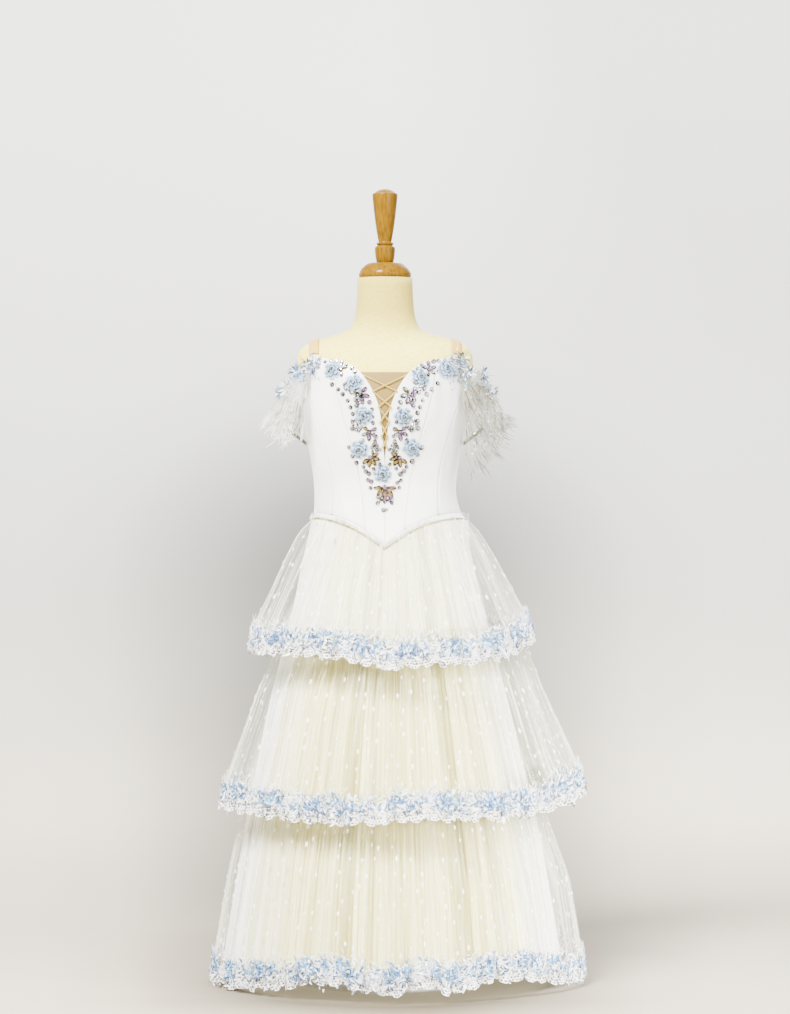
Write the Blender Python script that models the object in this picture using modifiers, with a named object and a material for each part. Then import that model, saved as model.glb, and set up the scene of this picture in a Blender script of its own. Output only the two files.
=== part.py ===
"""A romantic ballet tutu on a limbless dress form.

Metres, +Z up, front towards -Y, origin on the floor at the centre of the stand's base.
Angles run around the body in degrees: 0 at the front, 90 at the wearer's left side (+X),
-90 at the right side and 180 at the back.
"""
import bpy
from bisect import bisect_right
from collections import namedtuple
from math import asin, cos, degrees, pi, radians, sin
from mathutils import Vector

# ---------------------------------------------------------------- clearances and thicknesses
GAP = 0.0003                 # between pieces that meet
TRIM_GAP = 0.0012            # under what lies on the bodice, whose facets stand off its curve
SEAM_TURN = 0.075            # degrees from a seam line to the edge of each panel
INSERT_OUT = 0.0008          # inner face of the plunge insert, off the form
INSERT_WALL = 0.0010
BODICE_OUT = 0.0034          # inner face of the bodice, off the form
BODICE_WALL = 0.0016
BODICE_FACE = BODICE_OUT + BODICE_WALL
BAND_OUT = 0.0030
BAND_WALL = 0.0026
BAND_HEIGHT = 0.0075
ELASTIC_WALL = 0.0012
NET_WALL = 0.0010
LACE_WALL = 0.0012
LACE_OUT = 0.0018            # inner face of a lace, off the net's inner face
UNDERSKIRT_WALL = 0.0010

# ---------------------------------------------------------------- dress form
SQUARENESS = 2.2             # exponent of the body's rounded cross-sections
FORM_COLUMNS = 32

Section = namedtuple("Section", "height half_width front back dip")
FORM_SECTIONS = (
    Section(0.5600, 0.1270, 0.0920, 0.1030, 0.0),
    Section(0.6000, 0.1310, 0.0950, 0.1060, 0.0),
    Section(0.6600, 0.1260, 0.0920, 0.1000, 0.0),
    Section(0.7100, 0.1160, 0.0870, 0.0900, 0.0),
    Section(0.7420, 0.1100, 0.0845, 0.0820, 0.0),
    Section(0.7670, 0.1078, 0.0835, 0.0780, 0.0),
    Section(0.8000, 0.1096, 0.0860, 0.0790, 0.0),
    Section(0.8400, 0.1160, 0.0920, 0.0840, 0.0),
    Section(0.8800, 0.1235, 0.0980, 0.0900, 0.0),
    Section(0.9200, 0.1310, 0.0995, 0.0930, 0.0),
    Section(0.9550, 0.1370, 0.0945, 0.0900, 0.0),
    Section(0.9850, 0.1420, 0.0830, 0.0820, 0.0),
    Section(1.0020, 0.1410, 0.0710, 0.0740, 0.0),
    Section(1.0130, 0.1330, 0.0590, 0.0670, 0.0005),
    Section(1.0210, 0.1160, 0.0560, 0.0620, 0.0015),
    Section(1.0300, 0.0860, 0.0540, 0.0590, 0.0040),
    Section(1.0370, 0.0590, 0.0510, 0.0540, 0.0065),
    Section(1.0500, 0.0500, 0.0485, 0.0500, 0.0050),
    Section(1.0750, 0.0458, 0.0455, 0.0460, 0.0015),
    Section(1.1217, 0.0440, 0.0440, 0.0440, 0.0),
)
FORM_BOTTOM = FORM_SECTIONS[0].height
NECK_TOP = FORM_SECTIONS[-1].height

TurnPoint = namedtuple("TurnPoint", "radius height")
CAP_PROFILE = (              # heights above the neck
    TurnPoint(0.0000, 0.0240),
    TurnPoint(0.0270, 0.0240),
    TurnPoint(0.0287, 0.0232),
    TurnPoint(0.0325, 0.0205),
    TurnPoint(0.0385, 0.0150),
    TurnPoint(0.0420, 0.0085),
    TurnPoint(0.0427, 0.0045),
    TurnPoint(0.0415, 0.0010),
    TurnPoint(0.0405, 0.0000),
    TurnPoint(0.0000, 0.0000),
)
CAP_HEIGHT = CAP_PROFILE[0].height
FINIAL_PROFILE = (           # heights above the cap: bowl, ring, flared handle and domed top
    TurnPoint(0.0000, 0.1190),
    TurnPoint(0.0085, 0.1178),
    TurnPoint(0.0155, 0.1140),
    TurnPoint(0.0177, 0.1118),
    TurnPoint(0.0203, 0.1105),
    TurnPoint(0.0206, 0.1078),
    TurnPoint(0.0197, 0.0960),
    TurnPoint(0.0160, 0.0640),
    TurnPoint(0.0118, 0.0390),
    TurnPoint(0.0103, 0.0335),
    TurnPoint(0.0138, 0.0320),
    TurnPoint(0.0142, 0.0300),
    TurnPoint(0.0120, 0.0282),
    TurnPoint(0.0163, 0.0250),
    TurnPoint(0.0168, 0.0215),
    TurnPoint(0.0155, 0.0080),
    TurnPoint(0.0138, 0.0012),
    TurnPoint(0.0132, 0.0000),
    TurnPoint(0.0000, 0.0000),
)
TURNED_STEPS = 20

POLE_RADIUS = 0.0125
BASE_RADIUS = 0.150
BASE_HEIGHT = 0.020
BASE_EDGE = 0.005

# ---------------------------------------------------------------- bodice
EdgePoint = namedtuple("EdgePoint", "angle height")
NECKLINE = (                 # top edge, from the bottom of the plunge round to the centre back
    EdgePoint(0.0, 0.8290),
    EdgePoint(0.9, 0.8580),
    EdgePoint(1.7, 0.8850),
    EdgePoint(2.7, 0.9120),
    EdgePoint(6.1, 0.9385),
    EdgePoint(11.5, 0.9620),
    EdgePoint(17.1, 0.9775),
    EdgePoint(25.3, 0.9870),
    EdgePoint(33.0, 0.9893),
    EdgePoint(42.0, 0.9915),
    EdgePoint(50.6, 0.9975),
    EdgePoint(60.7, 0.9800),
    EdgePoint(72.0, 0.9600),
    EdgePoint(82.0, 0.9380),
    EdgePoint(95.0, 0.9260),
    EdgePoint(112.0, 0.9360),
    EdgePoint(126.0, 0.9600),
    EdgePoint(135.0, 0.9580),
    EdgePoint(150.0, 0.9480),
    EdgePoint(180.0, 0.9440),
)
PLUNGE_END = 42.0            # angle to which the top edge rises from the plunge
AngleAtHeight = namedtuple("AngleAtHeight", "height angle")
BASQUE_EDGE = (              # pointed lower edge, front to back
    EdgePoint(0.0, 0.6990),
    EdgePoint(13.5, 0.7204),
    EdgePoint(25.0, 0.7325),
    EdgePoint(37.0, 0.7400),
    EdgePoint(52.0, 0.7455),
    EdgePoint(70.0, 0.7475),
    EdgePoint(90.0, 0.7450),
    EdgePoint(110.0, 0.7390),
    EdgePoint(135.0, 0.7270),
    EdgePoint(160.0, 0.7110),
    EdgePoint(180.0, 0.6990),
)
SeamRow = namedtuple("SeamRow", "level front_seam side_front_seam side_seam back_seam")
SEAMS = (                    # angle of each seam from the lower edge (0) to the top edge (1)
    SeamRow(0.00, 13.5, 45.6, 95.0, 138.0),
    SeamRow(0.35, 19.5, 46.3, 95.0, 141.0),
    SeamRow(0.75, 30.5, 57.0, 95.0, 146.0),
    SeamRow(1.00, 33.0, 67.0, 95.0, 150.0),
)
PANELS = (                   # name, seams on its two sides, columns
    ("side_front", "front_seam", "side_front_seam", 4),
    ("side", "side_front_seam", "side_seam", 3),
    ("side_back", "side_seam", "back_seam", 4),
)
CENTRE_BACK_COLUMNS = 2
BODICE_LEVELS = (0.0, 0.16, 0.32, 0.47, 0.60, 0.71, 0.80, 0.87, 0.935, 1.0)
HIP_FLARE = 0.016            # how far the lower edge springs off the body at the wearer's left
HIP_FLARE_TOP = 0.762
HIP_FLARE_HEIGHT = 0.024

INSERT_BOTTOM = 0.838
INSERT_TOP = 0.968
INSERT_ROWS = 9
INSERT_TUCK = 0.006          # how far it reaches under the panels beside it

LACE_CORD_RADIUS = 0.0009
CORD_ON_PANEL = BODICE_FACE + TRIM_GAP + LACE_CORD_RADIUS
CORD_ON_INSERT = INSERT_OUT + INSERT_WALL + TRIM_GAP + LACE_CORD_RADIUS
CORD_LIFT = 0.0004           # of the lower cord off the insert where they cross
CORD_OVER_CORD = 2 * LACE_CORD_RADIUS + 0.0005
Eyelet = namedtuple("Eyelet", "height across")
EYELETS = (
    Eyelet(0.9630, 0.0340),
    Eyelet(0.9370, 0.0188),
    Eyelet(0.9125, 0.0098),
    Eyelet(0.8890, 0.0075),
    Eyelet(0.8670, 0.0055),
    Eyelet(0.8480, 0.0042),
)
WIDE_LACING = 0.0095         # below this half width the cords stay on the panels' edges

SHOULDER_LOW = 1.0           # heights between which the shoulder narrows to the neck
SHOULDER_HIGH = 1.04
HeightAtWidth = namedtuple("HeightAtWidth", "half_width height")
STRAP_ACROSS = 0.1128
STRAP_WIDTH = 0.0150
STRAP_OUT = 0.0010
STRAP_FRONT = 0.9990
STRAP_BACK = 0.9620
STRAP_STEPS = 5
STRAP_LIFT = 0.0024          # clearance over the shoulder, where the surface lies flat
STRAP_TOP_DROP = 0.0030
STRAP_RIDGE = 0.0030

# ---------------------------------------------------------------- roses and stones
ROSE_RADIUS = 0.0143
ROSE_PETALS = 5
PlaceOnBodice = namedtuple("PlaceOnBodice", "across height turn")
ROSES = (
    PlaceOnBodice(-0.0792, 0.9710, 10),
    PlaceOnBodice(-0.0450, 0.9500, 40),
    PlaceOnBodice(-0.0316, 0.8983, 20),
    PlaceOnBodice(-0.0376, 0.8478, 55),
    PlaceOnBodice(0.0930, 0.9720, 30),
    PlaceOnBodice(0.0530, 0.9590, 5),
    PlaceOnBodice(0.0282, 0.8983, 48),
    PlaceOnBodice(0.0394, 0.8478, 15),
    PlaceOnBodice(-0.0025, 0.8086, 36),
)
RoseRing = namedtuple("RoseRing", "reach notch height")
ROSE_RINGS = (               # share of the radius at petal tips and between them, and height
    RoseRing(0.96, 0.84, 0.0006),
    RoseRing(1.00, 0.80, 0.0038),
    RoseRing(0.62, 0.56, 0.0068),
    RoseRing(0.30, 0.34, 0.0086),
)
ROSE_HEART = 0.0070

STONE_LENGTH = 0.0072
STONE_WIDTH = 0.0040
STONE_HEIGHT = 0.0024
STONES = (
    PlaceOnBodice(-0.0136, 0.7852, 62),
    PlaceOnBodice(-0.0098, 0.7686, 38),
    PlaceOnBodice(-0.0012, 0.7785, 0),
    PlaceOnBodice(-0.0012, 0.7622, 0),
    PlaceOnBodice(0.0074, 0.7686, -38),
    PlaceOnBodice(0.0112, 0.7852, -62),
)

# ---------------------------------------------------------------- skirt
ON_BODY = None               # a tier whose first row lies on the body, under the waist band
SKIRT_DROP = 0.0028          # from the waist band's lower edge to the first tier
UNDERSKIRT_DROP = 0.0140     # and to the underskirt
TIER_OUT = 0.0036            # first row of the first tier, off the form
UNDERSKIRT_OUT = 0.0012
HemPoint = namedtuple("HemPoint", "angle height")
UNDERSKIRT_HEM = (HemPoint(-180, 0.030), HemPoint(180, 0.030))
HEM_1 = (                    # from the back round by the wearer's right and front to the back
    HemPoint(-180, 0.522),
    HemPoint(-120, 0.528),
    HemPoint(-90, 0.534),
    HemPoint(-60, 0.534),
    HemPoint(-35, 0.531),
    HemPoint(-15, 0.525),
    HemPoint(0, 0.513),
    HemPoint(12, 0.518),
    HemPoint(30, 0.520),
    HemPoint(50, 0.527),
    HemPoint(75, 0.541),
    HemPoint(90, 0.551),
    HemPoint(120, 0.538),
    HemPoint(180, 0.522),
)
HEM_2 = (
    HemPoint(-180, 0.285),
    HemPoint(-120, 0.288),
    HemPoint(-90, 0.289),
    HemPoint(-60, 0.286),
    HemPoint(-30, 0.280),
    HemPoint(-10, 0.279),
    HemPoint(5, 0.286),
    HemPoint(20, 0.284),
    HemPoint(45, 0.288),
    HemPoint(65, 0.299),
    HemPoint(90, 0.307),
    HemPoint(120, 0.297),
    HemPoint(150, 0.284),
    HemPoint(180, 0.285),
)
HEM_3 = (
    HemPoint(-180, 0.024),
    HemPoint(-150, 0.016),
    HemPoint(-125, 0.024),
    HemPoint(-90, 0.014),
    HemPoint(-60, 0.014),
    HemPoint(-42, 0.019),
    HemPoint(-24, 0.035),
    HemPoint(-8, 0.024),
    HemPoint(-1, 0.020),
    HemPoint(7, 0.033),
    HemPoint(16, 0.022),
    HemPoint(30, 0.036),
    HemPoint(48, 0.030),
    HemPoint(65, 0.016),
    HemPoint(90, 0.015),
    HemPoint(120, 0.025),
    HemPoint(150, 0.016),
    HemPoint(180, 0.024),
)
TierRow = namedtuple("TierRow", "drop half_width front back shift fold")
Tier = namedtuple("Tier", "gathers top hem swell rows")
UNDERSKIRT = Tier(20, ON_BODY, UNDERSKIRT_HEM, 0.0, (
    TierRow(0.00, 0.0000, 0.0000, 0.0000, 0.000, 0.0004),
    TierRow(0.06, 0.1310, 0.1000, 0.1080, 0.003, 0.0014),
    TierRow(0.20, 0.1530, 0.1240, 0.1280, 0.006, 0.0022),
    TierRow(0.42, 0.1920, 0.1620, 0.1640, 0.006, 0.0026),
    TierRow(0.70, 0.2340, 0.2010, 0.2020, 0.011, 0.0030),
    TierRow(1.00, 0.2690, 0.2340, 0.2340, 0.012, 0.0030),
))
TIERS = (
    Tier(40, ON_BODY, HEM_1, 0.0020, (
        TierRow(0.00, 0.0000, 0.0000, 0.0000, 0.000, 0.0005),
        TierRow(0.10, 0.1430, 0.1060, 0.1080, 0.006, 0.0026),
        TierRow(0.30, 0.1650, 0.1310, 0.1330, 0.007, 0.0036),
        TierRow(0.55, 0.1880, 0.1570, 0.1580, 0.008, 0.0046),
        TierRow(0.83, 0.2150, 0.1830, 0.1830, 0.008, 0.0060),
        TierRow(1.00, 0.2220, 0.1900, 0.1900, 0.008, 0.0065),
    )),
    Tier(48, 0.565, HEM_2, 0.0030, (
        TierRow(0.00, 0.1670, 0.1300, 0.1360, 0.006, 0.0012),
        TierRow(0.16, 0.2020, 0.1660, 0.1680, 0.026, 0.0040),
        TierRow(0.37, 0.2256, 0.1920, 0.1930, 0.022, 0.0050),
        TierRow(0.885, 0.2800, 0.2395, 0.2395, 0.026, 0.0066),
        TierRow(1.00, 0.2850, 0.2440, 0.2440, 0.027, 0.0070),
    )),
    Tier(52, 0.315, HEM_3, 0.0025, (
        TierRow(0.00, 0.2280, 0.1930, 0.1950, 0.010, 0.0012),
        TierRow(0.20, 0.2460, 0.2110, 0.2120, 0.014, 0.0040),
        TierRow(0.50, 0.2710, 0.2330, 0.2340, 0.020, 0.0050),
        TierRow(0.885, 0.2900, 0.2495, 0.2500, 0.020, 0.0060),
        TierRow(1.00, 0.2930, 0.2520, 0.2520, 0.020, 0.0062),
    )),
)
GATHER_BEATS = 0.54          # swings of the gathers' spacing, for each gather
GATHER_UNEVEN = 0.26         # how far a column moves in a swing, as a share of the spacing
GATHER_DEPTHS = (0.78, 0.22) # usual depth of a gather and how much it varies
SIDE_SEAM_SETBACK = 0.0002   # of each half of a layer, from the seam's line
LACE_BELOW_HEM = 0.010       # how far a tier's lace hangs below its net
SCALLOP = 0.0035             # how far the lace's lower edge rises between scallops

# ---------------------------------------------------------------- sleeves
SleeveRow = namedtuple("SleeveRow", "place top_x top_y top_z hem_x hem_y hem_z")
SLEEVE_LEFT = (              # the wearer's left, seen on the right from the front; front to back
    SleeveRow(0.00, 0.1190, -0.0650, 0.973, 0.1290, -0.0620, 0.806),
    SleeveRow(0.20, 0.1400, -0.0590, 0.972, 0.1560, -0.0560, 0.810),
    SleeveRow(0.40, 0.1560, -0.0320, 0.961, 0.1800, -0.0340, 0.840),
    SleeveRow(0.60, 0.1640, 0.0050, 0.948, 0.2010, 0.0020, 0.886),
    SleeveRow(0.80, 0.1530, 0.0420, 0.952, 0.1850, 0.0460, 0.872),
    SleeveRow(1.00, 0.1220, 0.0680, 0.955, 0.1420, 0.0820, 0.860),
)
SLEEVE_RIGHT = (             # the wearer's right, mirrored to +X
    SleeveRow(0.00, 0.1190, -0.0650, 0.973, 0.1290, -0.0680, 0.868),
    SleeveRow(0.20, 0.1380, -0.0600, 0.969, 0.1490, -0.0600, 0.857),
    SleeveRow(0.40, 0.1540, -0.0360, 0.948, 0.1720, -0.0380, 0.858),
    SleeveRow(0.60, 0.1630, 0.0020, 0.934, 0.1970, -0.0020, 0.890),
    SleeveRow(0.80, 0.1520, 0.0420, 0.945, 0.1820, 0.0450, 0.880),
    SleeveRow(1.00, 0.1220, 0.0680, 0.955, 0.1420, 0.0820, 0.868),
)
SLEEVE_GATHERS = 8
SLEEVE_LEVELS = (0.0, 0.22, 0.6, 1.0)
SLEEVE_FOLD = 0.0048
SLEEVE_LACE_END = 0.22       # share of the ruffle's length that its lace covers
SLEEVE_LACE_RISE = 0.05

ARM_BAND_HEIGHT = 0.0060
ARM_BAND_WALL = 0.0014
ARM_BAND_COLUMNS = 16
ARM_BAND_CENTRE = Vector((0.1410, 0.0, 0.8690))
ARM_BAND_HALF_WIDTH = 0.0145
ARM_BAND_HALF_DEPTH = 0.0400
ARM_BAND_SLOPE = 0.80        # rise over run: its outer side hangs higher

# ---------------------------------------------------------------- colours
Finish = namedtuple("Finish", "colour roughness metallic")
SATIN = Finish((0.86, 0.87, 0.87), 0.38, 0.0)
NET = Finish((0.86, 0.85, 0.76), 0.80, 0.0)
LINING = Finish((0.84, 0.84, 0.77), 0.65, 0.0)
BLUE_LACE = Finish((0.42, 0.58, 0.82), 0.75, 0.0)
ROSE_CLOTH = Finish((0.55, 0.72, 0.86), 0.60, 0.0)
SKIN_NET = Finish((0.66, 0.53, 0.36), 0.70, 0.0)
CORD = Finish((0.80, 0.70, 0.45), 0.55, 0.0)
ELASTIC = Finish((0.80, 0.65, 0.45), 0.65, 0.0)
LINEN = Finish((0.80, 0.75, 0.62), 0.85, 0.0)
VARNISHED_WOOD = Finish((0.52, 0.26, 0.07), 0.25, 0.0)
STEEL = Finish((0.55, 0.56, 0.58), 0.30, 1.0)
PAINTED_BASE = Finish((0.75, 0.75, 0.74), 0.45, 0.0)
STONE = Finish((0.62, 0.55, 0.38), 0.10, 0.0)


# ================================================================ helpers
def blend(low, high, share):
    return low + (high - low) * share


def value_at(rows, place, field):
    """A field's value at a place between rows sorted by their first column, on a smooth curve."""
    spots = [row[0] for row in rows]
    values = [getattr(row, field) for row in rows]
    place = min(max(place, spots[0]), spots[-1])
    low = min(bisect_right(spots, place), len(rows) - 1) - 1

    def slope(k):
        before, after = max(k - 1, 0), min(k + 1, len(rows) - 1)
        return (values[after] - values[before]) / (spots[after] - spots[before])

    step = spots[low + 1] - spots[low]
    t = (place - spots[low]) / step
    start = values[low] * (1 + 2 * t) * (1 - t) ** 2 + slope(low) * step * t * (1 - t) ** 2
    end = values[low + 1] * t * t * (3 - 2 * t) + slope(low + 1) * step * t * t * (t - 1)
    return start + end


def straight_value_at(rows, place, field):
    """The same on straight lines between the rows."""
    spots = [row[0] for row in rows]
    low = min(max(bisect_right(spots, place), 1), len(rows) - 1) - 1
    share = (place - spots[low]) / (spots[low + 1] - spots[low])
    return blend(getattr(rows[low], field), getattr(rows[low + 1], field), share)


def oval(angle, half_width, front, back, squareness=2.0):
    """A point of a rounded oval and its outward direction, both level."""
    turn = radians(angle)
    power = 2.0 / squareness
    across, ahead = sin(turn), cos(turn)
    depth = front if ahead >= 0 else back
    x = half_width * abs(across) ** power * (1 if across >= 0 else -1)
    y = -depth * abs(ahead) ** power * (1 if ahead >= 0 else -1)
    steep = squareness - 1
    normal = Vector((
        abs(x) ** steep / half_width ** squareness * (1 if x >= 0 else -1),
        abs(y) ** steep / depth ** squareness * (1 if y >= 0 else -1),
        0,
    ))
    return Vector((x, y, 0)), normal.normalized()


def body_point(height, angle, out=0.0):
    """A point on the form's surface at a height, moved out level."""
    point, normal = oval(
        angle,
        value_at(FORM_SECTIONS, height, "half_width"),
        value_at(FORM_SECTIONS, height, "front"),
        value_at(FORM_SECTIONS, height, "back"),
        SQUARENESS,
    )
    dip = value_at(FORM_SECTIONS, height, "dip") * cos(radians(angle))
    return point + normal * out + Vector((0, 0, height - dip))


def angle_across(height, across):
    """The angle of the front surface's point at a distance to the side."""
    half_width = value_at(FORM_SECTIONS, height, "half_width")
    share = min(abs(across) / half_width, 1.0) ** (SQUARENESS / 2)
    return degrees(asin(share)) * (1 if across >= 0 else -1)


def hip_flare(height, angle):
    """How far the lower edge stands off at the wearer's left side."""
    drop = min(max((HIP_FLARE_TOP - height) / HIP_FLARE_HEIGHT, 0.0), 1.0)
    side = max(sin(radians(angle)), 0.0) ** 4
    return HIP_FLARE * drop ** 2 * side


def cloth_point(height, angle, out):
    return body_point(height, angle, out + hip_flare(height, angle))


def make_material(name, finish):
    material = bpy.data.materials.new(name)
    material.use_nodes = True
    shader = material.node_tree.nodes["Principled BSDF"]
    shader.inputs["Base Color"].default_value = (*finish.colour, 1.0)
    shader.inputs["Roughness"].default_value = finish.roughness
    shader.inputs["Metallic"].default_value = finish.metallic
    return material


def add_object(name, data, finish):
    item = bpy.data.objects.new(name, data)
    data.materials.append(make_material(name, finish))
    bpy.data.collections["ballet_tutu"].objects.link(item)
    return item


def add_mesh(name, points, faces, finish, sharp_angle=50):
    mesh = bpy.data.meshes.new(name)
    mesh.from_pydata([tuple(point) for point in points], [], faces)
    mesh.shade_smooth()
    mesh.set_sharp_from_angle(angle=radians(sharp_angle))
    return add_object(name, mesh, finish)


def grid_faces(rows, columns, closed):
    """Quads between rows of points that run anticlockwise from above, lowest row first."""
    faces = []
    for row in range(rows - 1):
        for column in range(columns if closed else columns - 1):
            after = (column + 1) % columns
            faces.append((
                row * columns + column,
                row * columns + after,
                (row + 1) * columns + after,
                (row + 1) * columns + column,
            ))
    return faces


def add_wall(name, rows, thickness, finish, closed=False):
    """A cloth wall: rows of points on its inner face, lowest first, thickened outwards."""
    points = [point for row in rows for point in row]
    item = add_mesh(name, points, grid_faces(len(rows), len(rows[0]), closed), finish)
    wall = item.modifiers.new("thickness", "SOLIDIFY")
    wall.thickness = thickness
    wall.offset = 1.0
    wall.use_even_offset = True
    return item


def add_panel(name, inner, outer, finish, closed=False):
    """A cloth wall with its own inner and outer rows, so that its edges stay true."""
    height, width = len(inner), len(inner[0])
    count = height * width
    points = [point for row in inner + outer for point in row]
    quads = grid_faces(height, width, closed)
    faces = [tuple(reversed(face)) for face in quads]
    faces += [tuple(k + count for k in face) for face in quads]
    low = list(range(width))
    top = [(height - 1) * width + column for column in range(width - 1, -1, -1)]
    if closed:
        loops = [low + low[:1], top + top[:1]]
    else:
        right = [row * width + width - 1 for row in range(1, height - 1)]
        left = [row * width for row in range(height - 2, 0, -1)]
        loops = [low + right + top + left + low[:1]]
    for loop in loops:
        for here, there in zip(loop, loop[1:]):
            faces.append((here, there, there + count, here + count))
    return add_mesh(name, points, faces, finish)


def add_turned(name, profile, bottom, steps, finish):
    """A turned piece from its outer profile, top to bottom."""
    mesh = bpy.data.meshes.new(name)
    points = [(row.radius, 0, bottom + row.height) for row in profile]
    mesh.from_pydata(points, [(k, k + 1) for k in range(len(points) - 1)], [])
    item = add_object(name, mesh, finish)
    turn = item.modifiers.new("turn", "SCREW")
    turn.steps = steps
    turn.render_steps = steps
    turn.use_merge_vertices = True
    turn.merge_threshold = 0.0001
    turn.use_smooth_shade = True
    return item


def add_tube(name, points, radius, finish):
    """A cord as a curve through its points, with closed ends."""
    curve = bpy.data.curves.new(name, "CURVE")
    curve.dimensions = "3D"
    curve.bevel_depth = radius
    curve.bevel_resolution = 1
    curve.use_fill_caps = True
    line = curve.splines.new("POLY")
    line.points.add(len(points) - 1)
    for spot, point in zip(line.points, points):
        spot.co = (*point, 1.0)
    return add_object(name, curve, finish)


# ================================================================ dress form
def make_form():
    rows = []
    for section in FORM_SECTIONS:
        row = []
        for column in range(FORM_COLUMNS):
            angle = -180 + 360 * column / FORM_COLUMNS
            point, _ = oval(angle, section.half_width, section.front, section.back, SQUARENESS)
            dip = section.dip * cos(radians(angle))
            row.append(point + Vector((0, 0, section.height - dip)))
        rows.append(row)
    faces = grid_faces(len(rows), FORM_COLUMNS, closed=True)
    last = (len(rows) - 1) * FORM_COLUMNS
    faces.append(tuple(reversed(range(FORM_COLUMNS))))
    faces.append(tuple(range(last, last + FORM_COLUMNS)))
    add_mesh("form_torso", [point for row in rows for point in row], faces, LINEN, 60)

    cap_bottom = NECK_TOP + GAP
    add_turned("form_neck_cap", CAP_PROFILE, cap_bottom, TURNED_STEPS + 4, VARNISHED_WOOD)
    finial_bottom = cap_bottom + CAP_HEIGHT + GAP
    add_turned("form_finial", FINIAL_PROFILE, finial_bottom, TURNED_STEPS, VARNISHED_WOOD)


def make_stand():
    pole_bottom = BASE_HEIGHT + GAP
    pole_length = FORM_BOTTOM - GAP - pole_bottom
    bpy.ops.mesh.primitive_cylinder_add(
        vertices=16, radius=POLE_RADIUS, depth=pole_length,
        location=(0, 0, pole_bottom + pole_length / 2),
    )
    adopt(bpy.context.object, "form_pole", STEEL)
    bpy.ops.mesh.primitive_cylinder_add(
        vertices=32, radius=BASE_RADIUS, depth=BASE_HEIGHT, location=(0, 0, BASE_HEIGHT / 2),
    )
    base = bpy.context.object
    adopt(base, "form_base", PAINTED_BASE)
    edge = base.modifiers.new("edge", "BEVEL")
    edge.width = BASE_EDGE
    edge.segments = 1


def adopt(item, name, finish):
    """Name a primitive, give it its finish and move it to the model's collection."""
    item.name = name
    item.data.name = name
    item.data.materials.append(make_material(name, finish))
    item.data.shade_smooth()
    item.data.set_sharp_from_angle(angle=radians(40))
    for collection in list(item.users_collection):
        collection.objects.unlink(item)
    bpy.data.collections["ballet_tutu"].objects.link(item)


# ================================================================ bodice
def panel_rows(seam_low, seam_high, columns, side, out):
    """Points of a panel between two seams. Columns are shares from the first seam."""
    def angle_at(level, share):
        low = seam_low(level) + SEAM_TURN
        high = seam_high(level) - SEAM_TURN
        return blend(low, high, share)

    rows = []
    for level in BODICE_LEVELS:
        row = []
        for share in columns:
            low_edge = value_at(BASQUE_EDGE, angle_at(0, share), "height")
            top_edge = straight_value_at(NECKLINE, angle_at(1, share), "height")
            height = blend(low_edge, top_edge, level)
            row.append(cloth_point(height, side * angle_at(level, share), out))
        rows.append(row if side > 0 else row[::-1])
    return rows


def seam(name):
    return lambda level: value_at(SEAMS, level, name)


def make_panel(name, seam_low, seam_high, columns, side):
    inner = panel_rows(seam_low, seam_high, columns, side, BODICE_OUT)
    outer = panel_rows(seam_low, seam_high, columns, side, BODICE_FACE)
    add_panel(name, inner, outer, SATIN)


def make_bodice():
    front_top = seam("front_seam")(1)
    plunge = [point.angle / front_top for point in NECKLINE if point.angle <= front_top]
    for side, letter in ((1, "L"), (-1, "R")):
        name = f"bodice_centre_front_{letter}"
        make_panel(name, lambda level: 0.0, seam("front_seam"), plunge, side)
        for name, low, high, count in PANELS:
            shares = [k / count for k in range(count + 1)]
            make_panel(f"bodice_{name}_{letter}", seam(low), seam(high), shares, side)
        shares = [k / CENTRE_BACK_COLUMNS for k in range(CENTRE_BACK_COLUMNS + 1)]
        name = f"bodice_centre_back_{letter}"
        make_panel(name, seam("back_seam"), lambda level: 180.0, shares, side)


def plunge_half_width(height):
    """Half the width of the plunge's opening at a height."""
    edge = [AngleAtHeight(p.height, p.angle) for p in NECKLINE if p.angle <= PLUNGE_END]
    return body_point(height, straight_value_at(edge, height, "angle")).x


def make_insert():
    rows = []
    for k in range(INSERT_ROWS + 1):
        height = blend(INSERT_BOTTOM, INSERT_TOP, k / INSERT_ROWS)
        half = plunge_half_width(height) + INSERT_TUCK
        row = []
        for step in range(7):
            angle = angle_across(height, blend(-half, half, step / 6))
            row.append(body_point(height, angle, INSERT_OUT))
        rows.append(row)
    add_wall("plunge_insert", rows, INSERT_WALL, SKIN_NET)


def make_lacing():
    """Two cords that zigzag between the eyelets; the second crosses over the first."""
    for side, letter in ((1, "L"), (-1, "R")):
        over = side > 0
        points = []
        for k, eyelet in enumerate(EYELETS):
            across = eyelet.across * side * (1 if k % 2 == 0 else -1)
            height = eyelet.height
            points.append(body_point(height, angle_across(height, across), CORD_ON_PANEL))
            if k + 1 == len(EYELETS):
                break
            after = EYELETS[k + 1]
            wide = (eyelet.across + after.across) / 2 > WIDE_LACING
            under = CORD_ON_INSERT + CORD_LIFT if wide else CORD_ON_PANEL
            out = max(CORD_ON_PANEL, under + CORD_OVER_CORD) if over else under
            share = eyelet.across / (eyelet.across + after.across)
            crossing = blend(height, after.height, share)
            points.append(body_point(crossing, 0.0, out))
        add_tube(f"lacing_{letter}", points, LACE_CORD_RADIUS, CORD)


def ring_angles(count):
    return [-180 + 360 * k / count for k in range(count)]


def lower_edge_angles():
    """The angles of the panels' corners along the lower edge, right round."""
    front_top = seam("front_seam")(1)
    half = [seam("front_seam")(0) * p.angle / front_top for p in NECKLINE if p.angle < front_top]
    for _, low, high, count in PANELS:
        half += [blend(seam(low)(0), seam(high)(0), k / count) for k in range(count)]
    back = seam("back_seam")(0)
    half += [blend(back, 180, k / CENTRE_BACK_COLUMNS) for k in range(CENTRE_BACK_COLUMNS)]
    return [-180.0] + [-angle for angle in reversed(half[1:])] + half


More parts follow.
